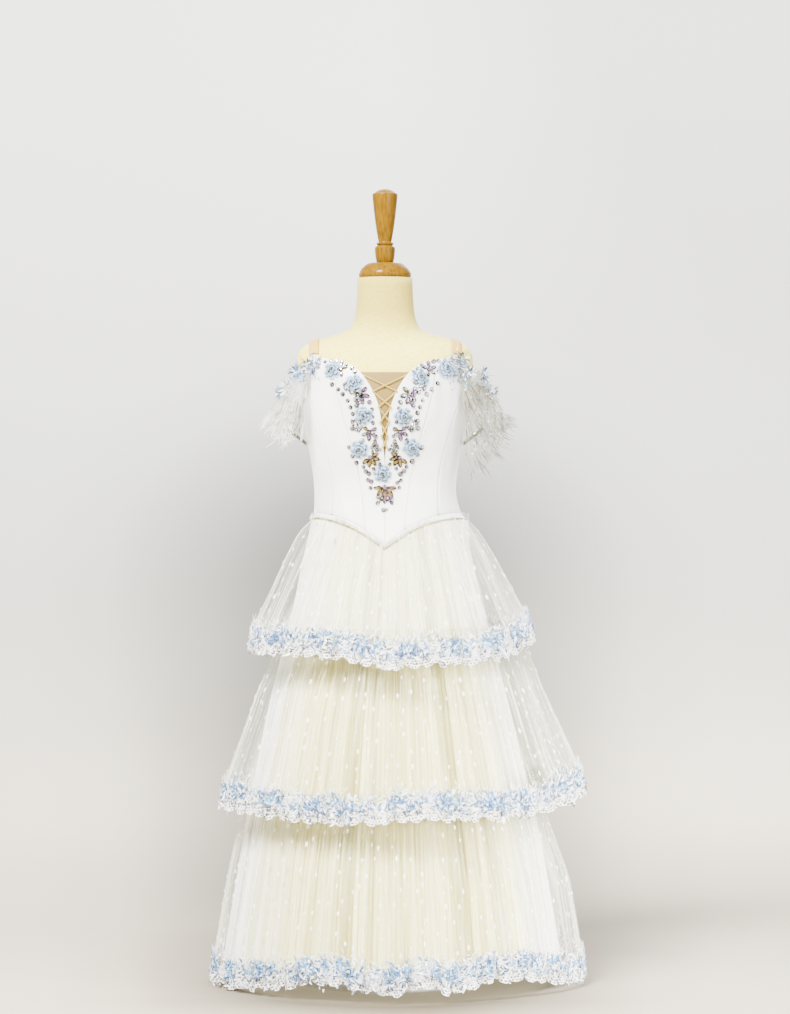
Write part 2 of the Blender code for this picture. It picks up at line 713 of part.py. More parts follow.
def make_waist_band():
    faces = []
    for out in (BAND_OUT, BAND_OUT + BAND_WALL):
        rows = []
        for drop in (GAP + BAND_HEIGHT, GAP):
            row = []
            for angle in lower_edge_angles():
                height = value_at(BASQUE_EDGE, abs(angle), "height") - drop
                row.append(cloth_point(height, angle, out))
            rows.append(row)
        faces.append(rows)
    add_panel("waist_band", *faces, SATIN, closed=True)


def shoulder_top(across):
    """Height where the shoulder's surface is this wide."""
    upper = [s for s in FORM_SECTIONS if SHOULDER_LOW < s.height < SHOULDER_HIGH]
    rows = [HeightAtWidth(s.half_width, s.height) for s in reversed(upper)]
    return straight_value_at(rows, across, "height")


def make_straps():
    """Flat elastic from the front top edge over the shoulder to the back top edge."""
    for side, letter in ((1, "L"), (-1, "R")):
        rails = []
        for across in (STRAP_ACROSS - STRAP_WIDTH / 2, STRAP_ACROSS + STRAP_WIDTH / 2):
            top = shoulder_top(across) - STRAP_TOP_DROP
            front, back = [], []
            for k in range(STRAP_STEPS + 1):
                share = k / STRAP_STEPS
                height = blend(STRAP_FRONT, top, share)
                angle = angle_across(height, across)
                front.append(body_point(height, angle, STRAP_OUT))
                front[-1].z += STRAP_LIFT * share ** 0.5
                height = blend(STRAP_BACK, top, share)
                angle = 180 - angle_across(height, across)
                back.append(body_point(height, angle, STRAP_OUT))
                back[-1].z += STRAP_LIFT * share ** 0.5
            ridge = front[-1].lerp(back[-1], 0.5) + Vector((0, 0, STRAP_RIDGE))
            rail = front + [ridge] + back[::-1]
            for point in rail:
                point.x = across * side
            rails.append(rail)
        rows = rails if side > 0 else rails[::-1]
        add_wall(f"strap_{letter}", [rows[1], rows[0]], ELASTIC_WALL, ELASTIC)


# ================================================================ roses and stones
def on_bodice(place, east, north, out):
    """A point near a place on the bodice's face, moved out."""
    height = place.height + north
    angle = angle_across(height, place.across + east)
    return body_point(height, angle, BODICE_FACE + TRIM_GAP + out)


def add_dome(name, place, rings, top, finish, sharp_angle):
    """A closed piece on the bodice from rings of (east, north, out) points and a top."""
    count = len(rings[0])
    points = [on_bodice(place, *spot) for ring in rings for spot in ring]
    faces = grid_faces(len(rings), count, closed=True)
    bottom = len(points)
    points.append(on_bodice(place, 0, 0, rings[0][0][2]))
    points.append(on_bodice(place, 0, 0, top))
    last = (len(rings) - 1) * count
    for k in range(count):
        after = (k + 1) % count
        faces.append((bottom, after, k))
        faces.append((bottom + 1, last + k, last + after))
    add_mesh(name, points, faces, finish, sharp_angle)


def make_roses():
    for number, place in enumerate(ROSES, 1):
        rings = []
        for ring in ROSE_RINGS:
            spots = []
            for k in range(2 * ROSE_PETALS):
                turn = radians(place.turn) + pi * k / ROSE_PETALS
                reach = ROSE_RADIUS * (ring.reach if k % 2 == 0 else ring.notch)
                spots.append((reach * cos(turn), reach * sin(turn), ring.height))
            rings.append(spots)
        add_dome(f"rose_{number}", place, rings, ROSE_HEART, ROSE_CLOTH, 30)


def make_stones():
    """Marquise stones, each turned about its own middle."""
    for number, place in enumerate(STONES, 1):
        rings = []
        for share, out in ((1.0, 0.0), (1.0, 0.0008), (0.5, STONE_HEIGHT)):
            spots = []
            for k in range(6):
                turn = pi * k / 3
                along = STONE_LENGTH / 2 * cos(turn) * share
                aside = STONE_WIDTH / 2 * sin(turn) * share
                tilt = radians(90 + place.turn)
                east = along * cos(tilt) - aside * sin(tilt)
                north = along * sin(tilt) + aside * cos(tilt)
                spots.append((east, north, out))
            rings.append(spots)
        add_dome(f"drop_stone_{number}", place, rings, STONE_HEIGHT, STONE, 10)


# ================================================================ skirt
def gather_angle(column, gathers):
    """Angle of a column, unevenly spaced, with one at the front and one at the back."""
    beats = round(GATHER_BEATS * gathers)
    uneven = GATHER_UNEVEN * sin(pi * beats * (column - gathers) / gathers)
    return -180 + 180 * (column + uneven) / gathers


def gather_reach(column):
    """How far a column leans out, from -1 to 1, uneven from one gather to the next."""
    usual, more = GATHER_DEPTHS
    size = usual + more * sin(2.3 * column)
    return size if column % 2 == 0 else -size


def swell(tier, angle, drop):
    """The large soft folds under the gathers."""
    turn = radians(angle)
    return tier.swell * drop * (sin(5 * turn + 1.0) + 0.5 * sin(9 * turn + 0.4))


def tier_row_point(tier, row, column, out):
    angle = gather_angle(column, tier.gathers)
    reach = row.fold * gather_reach(column) + out
    top = tier.top
    if top is ON_BODY:
        drop = UNDERSKIRT_DROP if tier is UNDERSKIRT else SKIRT_DROP
        top = value_at(BASQUE_EDGE, abs(angle), "height") - BAND_HEIGHT - drop
    height = blend(top, value_at(tier.hem, angle, "height"), row.drop)
    if row.half_width == 0:
        off_form = UNDERSKIRT_OUT if tier is UNDERSKIRT else TIER_OUT
        return cloth_point(height, angle, off_form + reach)
    point, normal = oval(angle, row.half_width, row.front, row.back)
    reach += swell(tier, angle, row.drop)
    return point + normal * reach + Vector((row.shift, 0, height))


def set_back(row):
    """A row of points with its two ends moved in from the seams."""
    row = list(row)
    for end, beside in ((0, 1), (-1, -2)):
        step = row[beside] - row[end]
        row[end] = row[end] + step * (SIDE_SEAM_SETBACK / step.length)
    return row


def make_skirt_layer(name, tier, wall, finish):
    """A gathered tube in two pieces, front and back, whose side seams lie on gathers that lean out."""
    side_seam = tier.gathers // 2
    for piece, first in (("front", side_seam), ("back", 3 * side_seam)):
        columns = [(first + k) % (2 * tier.gathers) for k in range(tier.gathers + 1)]
        rows = []
        for row in reversed(tier.rows):
            points = [tier_row_point(tier, row, column, 0.0) for column in columns]
            rows.append(set_back(points))
        add_wall(f"{name}_{piece}", rows, wall, finish)


def make_tier_lace(number, tier):
    """A lace around the hem, from the net's own points: it goes on straight below the net."""
    upper, hem = tier.rows[-2:]
    top_row, low_row = [], []
    for column in range(2 * tier.gathers):
        top = tier_row_point(tier, upper, column, LACE_OUT)
        end = tier_row_point(tier, hem, column, LACE_OUT)
        rise = SCALLOP if column % 2 else 0.0
        longer = (top.z - end.z + LACE_BELOW_HEM - rise) / (top.z - end.z)
        top_row.append(top)
        low_row.append(top.lerp(end, longer))
    add_wall(f"tier_lace_{number}", [low_row, top_row], LACE_WALL, BLUE_LACE, closed=True)


def make_skirt():
    make_skirt_layer("underskirt", UNDERSKIRT, UNDERSKIRT_WALL, LINING)
    for number, tier in enumerate(TIERS, 1):
        make_skirt_layer(f"tier_net_{number}", tier, NET_WALL, NET)
        make_tier_lace(number, tier)


# ================================================================ sleeves
def sleeve_point(rows, place, level):
    top = Vector([value_at(rows, place, f"top_{axis}") for axis in "xyz"])
    hem = Vector([value_at(rows, place, f"hem_{axis}") for axis in "xyz"])
    return top.lerp(hem, level)


def sleeve_row(rows, level, out, side):
    """Points of a ruffle at a level, from front to back, leaning in and out."""
    row = []
    for column in range(2 * SLEEVE_GATHERS + 1):
        place = column / (2 * SLEEVE_GATHERS)
        point = sleeve_point(rows, place, level)
        before = sleeve_point(rows, max(place - 0.02, 0.0), level)
        after = sleeve_point(rows, min(place + 0.02, 1.0), level)
        ahead = after - before
        normal = Vector((ahead.y, -ahead.x, 0)).normalized()
        lean = SLEEVE_FOLD * level ** 0.7 * (1 if column % 2 else -1)
        point += normal * (lean + out)
        row.append(Vector((point.x * side, point.y, point.z)))
    return row if side > 0 else row[::-1]


def make_sleeves():
    for side, letter, table in ((1, "L", SLEEVE_LEFT), (-1, "R", SLEEVE_RIGHT)):
        levels = SLEEVE_LEVELS[::-1]
        rows = [sleeve_row(table, level, 0.0, side) for level in levels]
        add_wall(f"sleeve_ruffle_{letter}", rows, NET_WALL, NET)
        rows = [
            sleeve_row(table, SLEEVE_LACE_END, LACE_OUT, side),
            sleeve_row(table, 0.0, LACE_OUT, side),
        ]
        upper = [low.lerp(top, 1 + SLEEVE_LACE_RISE) for low, top in zip(*rows)]
        add_wall(f"sleeve_lace_{letter}", [rows[0], upper], LACE_WALL, BLUE_LACE)
        make_arm_band(side, letter)


def make_arm_band(side, letter):
    rows = []
    for rise in (-ARM_BAND_HEIGHT / 2, ARM_BAND_HEIGHT / 2):
        row = []
        for angle in ring_angles(ARM_BAND_COLUMNS):
            point, _ = oval(angle, ARM_BAND_HALF_WIDTH, ARM_BAND_HALF_DEPTH, ARM_BAND_HALF_DEPTH)
            lift = Vector((0, 0, point.x * ARM_BAND_SLOPE + rise))
            point += ARM_BAND_CENTRE + lift
            row.append(Vector((point.x * side, point.y, point.z)))
        rows.append(row if side > 0 else row[::-1])
    add_wall(f"sleeve_band_{letter}", rows, ARM_BAND_WALL, ELASTIC, closed=True)


# ================================================================ build
def main():
    for item in list(bpy.data.objects):
        bpy.data.objects.remove(item)
    collection = bpy.data.collections.new("ballet_tutu")
    bpy.context.scene.collection.children.link(collection)
    make_form()
    make_stand()
    make_bodice()
    make_insert()
    make_lacing()
    make_waist_band()
    make_straps()
    make_roses()
    make_stones()
    make_skirt()
    make_sleeves()


main()
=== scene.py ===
"""The looks of the ballet tutu: its cloth, lace, roses, stones and stand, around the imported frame.

Metres, +Z up, front towards -Y. Angles are degrees round the body: 0 at the front, 90 at the
wearer's left side (+X), -90 at the right side and 180 at the back.
"""
from collections import namedtuple
from math import cos, pi, radians, sin

import bmesh
import bpy
import numpy as np
from mathutils import Matrix, Vector
from mathutils.bvhtree import BVHTree


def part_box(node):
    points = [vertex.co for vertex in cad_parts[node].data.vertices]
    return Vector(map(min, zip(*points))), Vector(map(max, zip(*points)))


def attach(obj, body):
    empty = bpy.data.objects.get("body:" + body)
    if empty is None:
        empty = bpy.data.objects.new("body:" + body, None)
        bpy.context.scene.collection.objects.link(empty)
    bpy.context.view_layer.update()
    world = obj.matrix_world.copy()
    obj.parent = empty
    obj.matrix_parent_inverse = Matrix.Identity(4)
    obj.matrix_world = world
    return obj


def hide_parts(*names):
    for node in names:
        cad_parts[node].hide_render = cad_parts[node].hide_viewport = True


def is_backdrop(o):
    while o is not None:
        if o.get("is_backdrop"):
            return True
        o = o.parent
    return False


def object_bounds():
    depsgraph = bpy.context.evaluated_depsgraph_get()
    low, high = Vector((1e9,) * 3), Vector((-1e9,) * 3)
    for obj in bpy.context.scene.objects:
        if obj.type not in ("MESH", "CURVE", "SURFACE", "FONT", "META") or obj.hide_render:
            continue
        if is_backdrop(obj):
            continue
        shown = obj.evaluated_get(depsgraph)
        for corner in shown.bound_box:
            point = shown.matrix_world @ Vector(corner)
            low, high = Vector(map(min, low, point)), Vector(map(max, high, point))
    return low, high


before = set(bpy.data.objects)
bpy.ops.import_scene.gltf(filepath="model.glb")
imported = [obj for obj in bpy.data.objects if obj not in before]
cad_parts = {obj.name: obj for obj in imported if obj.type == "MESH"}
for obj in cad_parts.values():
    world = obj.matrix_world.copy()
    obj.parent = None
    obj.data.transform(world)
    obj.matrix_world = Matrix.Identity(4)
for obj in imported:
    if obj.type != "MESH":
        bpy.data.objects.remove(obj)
CAD_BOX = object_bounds()


def table(columns, *rows):
    """Rows of values that are read by the names of their columns."""
    Row = namedtuple("Row", columns)
    return tuple(Row(*values) for values in rows)


SEEDS = {"lace": 40, "dots": 60, "rose": 100, "stones": 5, "sleeve": 30, "wisps": 70, "corners": 81}
SIDES = ((1, "L"), (-1, "R"))  # the wearer's left is +X
WHITE = (1.0, 1.0, 1.0)

# ---- camera and light
PHOTO_SIZE = (790, 1014)
PIXELS_PER_METRE_AT_1M = 3200.0  # the camera's focal length, in pixels of the photo
SENSOR = 36.0
CAMERA_AT = Vector((0.016, -5.12, 0.756))
SKY = (0.94, 0.96, 1.0)
SKY_STRENGTH = 1.3
LAMPS = table(
    "name place target size power spread colour",
    ("key", (-1.5, -2.6, 3.9), (0, 0, 0.70), 1.2, 1260, 180, (1.0, 0.985, 0.96)),
    ("fill", (2.6, -3.4, 1.8), (0, 0, 0.8), 2.4, 200, 180, (0.97, 0.985, 1.0)),
    ("back", (0.6, 3.4, 3.6), (0, 0, 0.6), 3.6, 200, 180, (1.0, 0.99, 0.97)),
    ("low", (2.7, -1.6, 0.50), (0.30, 0, 0.08), 0.8, 20, 32, (1.0, 0.975, 0.94)),
    ("wall", (0.5, 2.6, 3.4), (0.2, 7.0, 1.2), 2.6, 900, 180, (1.0, 0.99, 0.97)),
)

STUDIO_FLOOR = 3.0  # radius of the flat floor
STUDIO_REACH = 7.6
STUDIO_SWEEP = 1.4  # height of the curve between floor and wall
STUDIO_HEIGHT = 3.4
STUDIO_STEPS = 16  # rows of the curve
STUDIO_COLUMNS = 96
UNDER_GLOW = (0.42, 0.355, 0.215)  # a painted glow: the floor itself emits this light, standing for what thin net would let down to the floor under it
GLOW_SHORTER = (-1.12, 1.18)  # how much sooner it ends on the wearer's right, and at the back
POOL_CENTRE = 0.05  # of the shade on the floor round the hem, to the wearer's left
POOL_LONGER = (-0.62, 0.35)  # distances count for this much on the wearer's right, and front to back
SHADE_BREADTH = 0.546  # half the breadth of the dress's shade, level with the dress
SHADE_WIDENS = 0.1077  # and its growth in each metre behind
SHADE_DRIFT = 0.0115  # in each metre behind, towards the wearer's right
SHADE_LEVEL = 0.46  # above this height the shade grows weaker
SHADE_RISE = 0.99  # and this much higher it is gone

# ---- skirt
COLUMN_STEP = 0.25  # degrees between the columns of a gathered shell
SHELL_ROWS = 18
SMOOTH_TURN = 0.8  # degrees over which a solid's facets are rounded off at the hem
SMOOTH_TOP = 1.9  # and at the top, where the gathers lie flatter
EDGE_WINDOW = 6.0  # degrees over which a layer's lowest and highest points are sought
EDGE_TOLERANCE = 0.012  # how near to them a point still lies on the edge
TOP_RISE = 0.010  # how far underskirt and first net go up under the waist piping
TOP_OUT = 0.0012  # and how far out they lie there
TOP_REACH = 0.09  # down to this share of the shell
PLEATS_AT_TOP = 0.35  # how deep the fine pleats are at the top, as a share of their depth
UNDERSKIRT_PLEATING, *TIERS = table(  # fine pleats on the solids' large gathers
    "depth counts seed",
    (0.0018, (41, 73, 127, 181), 14),
    (0.0017, (61, 97, 143, 211), 11),
    (0.0019, (67, 103, 151, 223), 12),
    (0.0020, (71, 109, 163, 233), 13),
)
UNDERSKIRT_FOLD_SHADES = table(  # painted shade of deep folds at the front, in degrees round the body
    "turn width tone",
    (-33.0, 5.0, 0.40),
    (-18.5, 4.5, 0.22),
    (-9.5, 3.5, 0.34),
    (5.0, 3.5, 0.42),
    (28.0, 6.0, 0.14),
    (44.0, 4.0, 0.42),
)
FOLD_CREST = 0.64  # the tone between them, on the same scale
HEM_SHADE = (0.34, 0.32, 0.17)  # the underskirt's tint in the shade of the two upper nets' hems
DOT_SPACING = 0.0235
DOT_LENGTH = 0.0078
DOT_WIDTH = 0.0040
DOT_KEPT = 0.72  # of the places, so that the rows look unforced
DOT_LIFT = 0.0006
DOT_THICKNESS = 0.0007
DOT_ASTRAY = (0.1, 0.3)  # of a row, and of the spacing along it
DOT_DROP = 0.006  # how far up or down from its row a dot lies at most
DOT_SIZES = (0.75, 1.15)
DOT_CORNERS = 8
DOT_TINT = (0.97, 0.96, 0.90)

# ---- lace
LACE_REPEAT = 0.082  # along the hem, from one blue spray to the next
LACE_DROP = 0.0095  # below the net's hem
LACE_OUT = 0.0010
FLOOR_CLEARANCE = 0.0015
LACE_RISE = 0.026  # of the openwork ground, above the hem
LACE_RUFFLE = 0.0030  # how far the trim's own ruffles swing in and out
LACE_RUFFLE_STEP = 0.027
LACE_WANDER = (1.5, 0.045)  # how far the ruffles drift from even steps, and along how much of the hem
LACE_WAVE = 0.0022  # how far the lower edge goes up and down
LACE_PLEATED = 0.4  # how much of a net's fine pleats its lace follows
EDGING_STEP = 0.0014
EDGING_ROWS = 7
EDGING_HOLE = (0.0052, 0.0043)  # from one hole of the openwork to the next, along and up
SCALLOPS_PER_REPEAT = 3
SCALLOP_DEPTH = 0.0072
LEAF_RIDGE = 0.16  # height of a leaf's middle, as a share of its width
LACE_LEAVES = table(  # in each repeat: across it, up from the hem, and how far they scatter
    "count middle spread height depth length width tint",
    (84, 0.42, 0.25, 0.019, 0.0072, 0.0100, 0.0024, "blue"),
    (56, 0.42, 0.25, 0.016, 0.0078, 0.0094, 0.0022, "deep"),
    # navy leaves: dark thread, and painted shade in the gaps between leaves
    (50, 0.42, 0.30, 0.011, 0.0100, 0.0068, 0.0018, "navy"),
    (40, 0.42, 0.28, 0.019, 0.0080, 0.0094, 0.0023, "pale"),
    (104, 0.42, 0.38, 0.016, 0.0100, 0.0096, 0.0024, "white"),
    (60, 0.95, 0.17, 0.013, 0.0090, 0.0096, 0.0025, "white"),
    (14, 0.50, 0.40, 0.001, 0.0050, 0.0060, 0.0020, "white"),
    (26, 0.50, 0.40, 0.034, 0.0060, 0.0105, 0.0018, "white"),
    # grey leaves: painted shade in the gaps between leaves
    (44, 0.50, 0.40, 0.011, 0.0100, 0.0066, 0.0016, "grey"),
)
LACE_SWAY = 0.14  # of a repeat: how far a spray lies from its even place
LACE_SWELL = 0.35  # how much its breadth differs from one to the next
LACE_LIFTS = (-0.004, 0.003)  # how far a whole spray lies above its even height
LACE_THICKNESS = 0.0026  # of the leaves that lie over each other
LACE_TURNED = 0.4  # the share of leaves that point any way; the rest point up, more or less
LEAF_LENGTHS = (0.65, 1.25)
LEAF_CURL = 0.36  # how far a tip is lifted at most, as a share of its leaf's length
TINTS = {
    "blue": (0.065, 0.24, 0.50),
    "deep": (0.018, 0.080, 0.24),
    # navy: dark blue thread, also laid as painted shade in the lace's gaps
    "navy": (0.008, 0.014, 0.036),
    "pale": (0.24, 0.49, 0.77),
    "white": (0.98, 0.98, 0.98),
    # grey: grey thread and beads, and in the lace sprays painted shade in the gaps between leaves
    "grey": (0.10, 0.12, 0.14),
    "net_shade": (0.30, 0.30, 0.26),
    "silver": (0.45, 0.48, 0.54),
    "smoke": (0.075, 0.08, 0.08),
    # olive: dark threads laid near the bodice as painted shade
    "olive": (0.085, 0.078, 0.040),
}

# ---- bodice trimming
EYELETS = table(  # as in the part's source
    "height across",
    (0.9630, 0.0340),
    (0.9370, 0.0188),
    (0.9125, 0.0098),
    (0.8890, 0.0075),
    (0.8670, 0.0055),
    (0.8480, 0.0042),
)
STRAND_RADIUS = 0.0008  # each of the two strands twisted into a cord
STRAND_PITCH = 0.0060
STRAND_STEPS = 12  # points of a cord from one eyelet to the next
STRAND_TINT = (0.50, 0.35, 0.04)
STRAND_SAMPLES = 10  # points in each turn of a strand
CORD_LIFT = 2.1 * STRAND_RADIUS
CROSSING_LIFT = 2.6 * STRAND_RADIUS
CROSSING_REACH = 0.0035  # how far beside a crossing the upper cord is still raised

SATIN_CREASE = 0.0028  # how far from another surface satin still lies in its shade
SEAM_STEP = 0.0008  # past a seam's gap, beside a place that falls in it
CENTRE_REACH = 0.006  # beside the centre seam, to where the panels are flat again
ROSES = range(1, 10)
ROSE_BEAD = 0.0038
ROSE_BEAD_LIFT = 0.0072
ROSE_RADIUS = 0.0158
# the petals' pale blue, painted lighter at their edges as a highlight and dark at their roots as shade
# between them
ROSE_LIT_EDGE = np.array((0.44, 0.65, 0.85))
ROSE_ROOT_SHADE = np.array((0.008, 0.036, 0.095))
ROSE_DEEPENS = 3.3  # how fast a petal's painted shade deepens from its edge towards its root
PETAL_COLUMNS = 9
PETAL_ROWS = 6
PETAL_BREADTH = 0.98  # of its even place in the ring
PETAL_ROUNDED = 0.34  # how much shorter it is at its corners
PETAL_RUFFLE = 0.0011
PETAL_SLANT = 0.0010  # by which one edge lies under the next petal
WHORLS = table(  # rings of a rose's petals, outer first
    "petals reach root cup height turn",
    (6, 1.00, 0.26, 0.0018, 0.0006, 0),
    (5, 0.68, 0.14, 0.0030, 0.0032, 30),
    (3, 0.36, 0.03, 0.0030, 0.0054, 75),
)

SPRAYS = table(  # cut stones between the roses; both sides unless across is 0
    "across height turn kind scale",
    (0.0690, 0.9720, 25, "lilac", 1.15),
    (0.0650, 0.9490, 200, "silver", 1.25),
    (0.0380, 0.9330, 255, "lilac", 1.40),
    (0.0420, 0.9170, 100, "silver", 1.15),
    (0.0240, 0.8740, 275, "lilac", 1.25),
    (0.0410, 0.8740, 80, "silver", 1.10),
    (0.0180, 0.8560, 250, "silver", 1.00),
    (0.0230, 0.8340, 235, "gold", 1.25),
    (0.0000, 0.7870, 270, "gold", 1.45),
    (0.0000, 0.7780, 270, "lilac", 1.45),
)
STONE_LINES = table(  # small round stones along lines of (across, height) points
    "spacing size tint points",
    (0.0092, 0.0060, "silver", ((0.104, 0.984), (0.080, 0.988), (0.056, 0.978), (0.046, 0.968))),
    (0.0112, 0.0056, "smoke", ((0.033, 0.940), (0.022, 0.915), (0.016, 0.880), (0.013, 0.845))),
    (0.0122, 0.0064, "smoke", ((0.082, 0.950), (0.062, 0.930), (0.050, 0.905), (0.051, 0.880))),
    (0.0132, 0.0064, "smoke", ((0.057, 0.850), (0.047, 0.829), (0.028, 0.815), (0.021, 0.795))),
    (0.0150, 0.0058, "smoke", ((0.030, 0.812), (0.022, 0.786))),
    (0.0200, 0.0060, "silver", ((0.010, 0.768), (0.002, 0.752))),
)
STONE_TINTS = {
    "silver": (0.60, 0.62, 0.62),
    "smoke": (0.30, 0.27, 0.29),
    "lilac": (0.40, 0.24, 0.42),
    "gold": (0.37, 0.27, 0.08),
}
STONE_SIDES = 8
STONE_RIM = 0.0004  # height of the rim over the cloth
STONE_GIRDLE = (1.16, 1.22, 0.0)  # of the rim: how far the stone's setting goes out
STONE_CROWN = (0.52, 0.52, 1.0)  # of the rim: the table on top of it
STONE_HEIGHT = 0.30  # of the width
STONE_PEAK = 0.03  # of the width, above the table's edge
STONE_POINTED = 1.35  # how pointed a long stone is; 1 is round
# how dark the ring round each stone is: its dark setting, together with painted shade round the stone
SETTING_AND_SHADE = 0.07
# painted glints: how much a facet's tint is lightened or darkened
CROWN_GLINTS = (0.05, 0.12, 0.5, 1.1, 1.5)
TABLE_GLINTS = (0.5, 0.9, 1.2)
FAN_COLUMNS = "lean distance length width tints"
FANS = {  # stones of a spray that points to +X; a second tint is for one more at -lean
    "lilac": table(
        FAN_COLUMNS,
        (0, 0.0070, 0.0092, 0.0050, "lilac"),
        (60, 0.0066, 0.0080, 0.0046, "lilac silver"),
        (125, 0.0066, 0.0074, 0.0044, "lilac gold"),
        (0, 0.0000, 0.0052, 0.0052, "smoke"),
        (34, 0.0136, 0.0046, 0.0046, "lilac silver"),
    ),
    "gold": table(
        FAN_COLUMNS,
        (0, 0.0074, 0.0104, 0.0052, "gold"),
        (42, 0.0078, 0.0100, 0.0050, "gold gold"),
        (86, 0.0078, 0.0092, 0.0048, "gold gold"),
        (0, 0.0004, 0.0054, 0.0054, "lilac"),
        (20, 0.0150, 0.0044, 0.0044, "smoke gold"),
    ),
    "silver": table(
        FAN_COLUMNS,
        (0, 0.0080, 0.0082, 0.0040, "silver"),
        (42, 0.0062, 0.0076, 0.0040, "smoke silver"),
        (0, 0.0166, 0.0074, 0.0038, "silver"),
        (26, 0.0140, 0.0070, 0.0036, "silver smoke"),
        (0, 0.0016, 0.0048, 0.0048, "smoke"),
    ),
}

# ---- sleeves
SLEEVE_EDGES = "place top_x top_y top_z hem_x hem_y hem_z"
SLEEVE_LEFT = table(  # as in the part's source, front to back
    SLEEVE_EDGES,
    (0.00, 0.1190, -0.0650, 0.973, 0.1290, -0.0620, 0.806),
    (0.20, 0.1400, -0.0590, 0.972, 0.1560, -0.0560, 0.810),
    (0.40, 0.1560, -0.0320, 0.961, 0.1800, -0.0340, 0.840),
    (0.60, 0.1640, 0.0050, 0.948, 0.2010, 0.0020, 0.886),
    (0.80, 0.1530, 0.0420, 0.952, 0.1850, 0.0460, 0.872),
    (1.00, 0.1220, 0.0680, 0.955, 0.1420, 0.0820, 0.860),
)
SLEEVE_RIGHT = table(  # the wearer's right, mirrored to +X
    SLEEVE_EDGES,
    (0.00, 0.1190, -0.0650, 0.973, 0.1290, -0.0680, 0.868),
    (0.20, 0.1380, -0.0600, 0.969, 0.1490, -0.0600, 0.857),
    (0.40, 0.1540, -0.0360, 0.948, 0.1720, -0.0380, 0.858),
    (0.60, 0.1630, 0.0020, 0.934, 0.1970, -0.0020, 0.890),
    (0.80, 0.1520, 0.0420, 0.945, 0.1820, 0.0450, 0.880),
    (1.00, 0.1220, 0.0680, 0.955, 0.1420, 0.0820, 0.868),
)
SLEEVE_COLUMNS = 260
SLEEVE_ROWS = 15
SLEEVE_GATHERS = 8
SLEEVE_FOLD = 0.0048
SLEEVE_FAN = 0.13  # how far the pleats spread from the middle on their way down
SLEEVE_TATTERS = (-1, 0.6)  # how uneven a hem is, up and down, before its row's own share
FINER_PLEATS = (1.71, 0.6)  # a second wave of pleats: its count and depth, by the first's
HEM_LOOK_AHEAD = 0.3  # how far below a row its direction down the sleeve is taken
SLEEVE_EDGE_LEAVES = 150
RUFFLES = table(  # shade is the net's painted lightness, lower where the net lies in shade; lean is how far its pleats go outward
    "name side table length pleats depth ragged out shade lean seed",
    ("sleeve_net_L", 1, SLEEVE_LEFT, 1.0, 37, 0.0016, 0.07, 0.0, 0.12, 0.46, 21),
    ("sleeve_net_R", -1, SLEEVE_RIGHT, 1.0, 29, 0.0020, 0.13, 0.0, 0.8, 0.10, 22),
    ("sleeve_puff_L", 1, SLEEVE_LEFT, 0.40, 17, 0.0028, 0.12, 0.0035, 0.35, 0.40, 23),
    ("sleeve_puff_R", -1, SLEEVE_RIGHT, 0.62, 15, 0.0034, 0.16, 0.0040, 1.0, 0.12, 24),
)
SPRIGS = table(  # leafy flowers of lace along the sleeves' top edges
    "side place level leaves reach tint whiskers",
    (-1, 0.02, -0.08, 24, 0.0100, "grey", 4),
    (-1, 0.17, 0.00, 46, 0.0135, "blue", 12),
    (-1, 0.32, 0.14, 26, 0.0150, "white", 5),
    (-1, 0.50, 0.06, 44, 0.0130, "blue", 12),
    (-1, 0.78, 0.12, 28, 0.0120, "blue", 5),
    (1, 0.02, -0.10, 34, 0.0115, "grey", 8),
    (1, 0.10, 0.02, 26, 0.0110, "white", 5),
    (1, 0.30, 0.00, 46, 0.0135, "deep", 14),
    (1, 0.38, 0.20, 26, 0.0115, "white", 6),
    (1, 0.55, 0.16, 26, 0.0105, "grey", 6),
    (1, 0.80, 0.14, 28, 0.0110, "blue", 5),
)
SPRIG_TINTS = ("white", "pale", "deep", "navy", "grey")
SPRIG_OWN = 0.45  # the share of its leaves that have the sprig's own tint
SPRIG_LENGTHS = (0.45, 0.75)  # of a leaf, by the sprig's reach
SPRIG_WIDTHS = (0.0018, 0.0030)
WHISKER_LENGTHS = (1.0, 1.5)
WHISKER_WIDTH = 0.0007
SLEEVE_EDGE_TINTS = ("white", "pale", "grey", "grey")
CORNER_TINTS = ("white", "grey", "grey", "pale", "silver", "deep")
WISPS = table(  # loose threads over the sleeves' nets; spread is how freely they turn
    "side count first last low high length width spread tint",
    (-1, 120, 0.16, 0.98, 0.50, 1.00, 0.011, 0.0008, 1.10, "white"),
    (-1, 50, 0.12, 0.98, 0.30, 0.95, 0.020, 0.0008, 0.45, "white"),
    (-1, 110, 0.02, 0.98, 0.35, 1.00, 0.014, 0.0007, 0.80, "net_shade"),
    # olive threads near the bodice: painted shade along its side
    (-1, 16, 0.02, 0.16, 0.30, 0.85, 0.030, 0.0012, 0.10, "olive"),
    (1, 60, 0.02, 0.98, 0.10, 0.80, 0.036, 0.0011, 0.10, "smoke"),
    (1, 80, 0.02, 0.98, 0.55, 0.98, 0.026, 0.0011, 0.14, "smoke"),
    (1, 44, 0.02, 0.98, 0.30, 0.95, 0.028, 0.0012, 0.16, "net_shade"),
    # olive threads near the bodice: painted shade along its side
    (1, 34, 0.02, 0.22, 0.05, 0.55, 0.028, 0.0012, 0.14, "olive"),
    (1, 30, 0.02, 0.98, 0.15, 0.90, 0.006, 0.0030, 1.50, "white"),
)
CORNERS = table(  # bead lace from a strap's foot down the bodice's side corner
    "side count top low spread",
    (-1, 110, (0.1080, 0.9930), (0.1170, 0.9700), 0.0055),
    (1, 190, (0.1060, 0.9930), (0.1220, 0.9600), 0.0085),
)

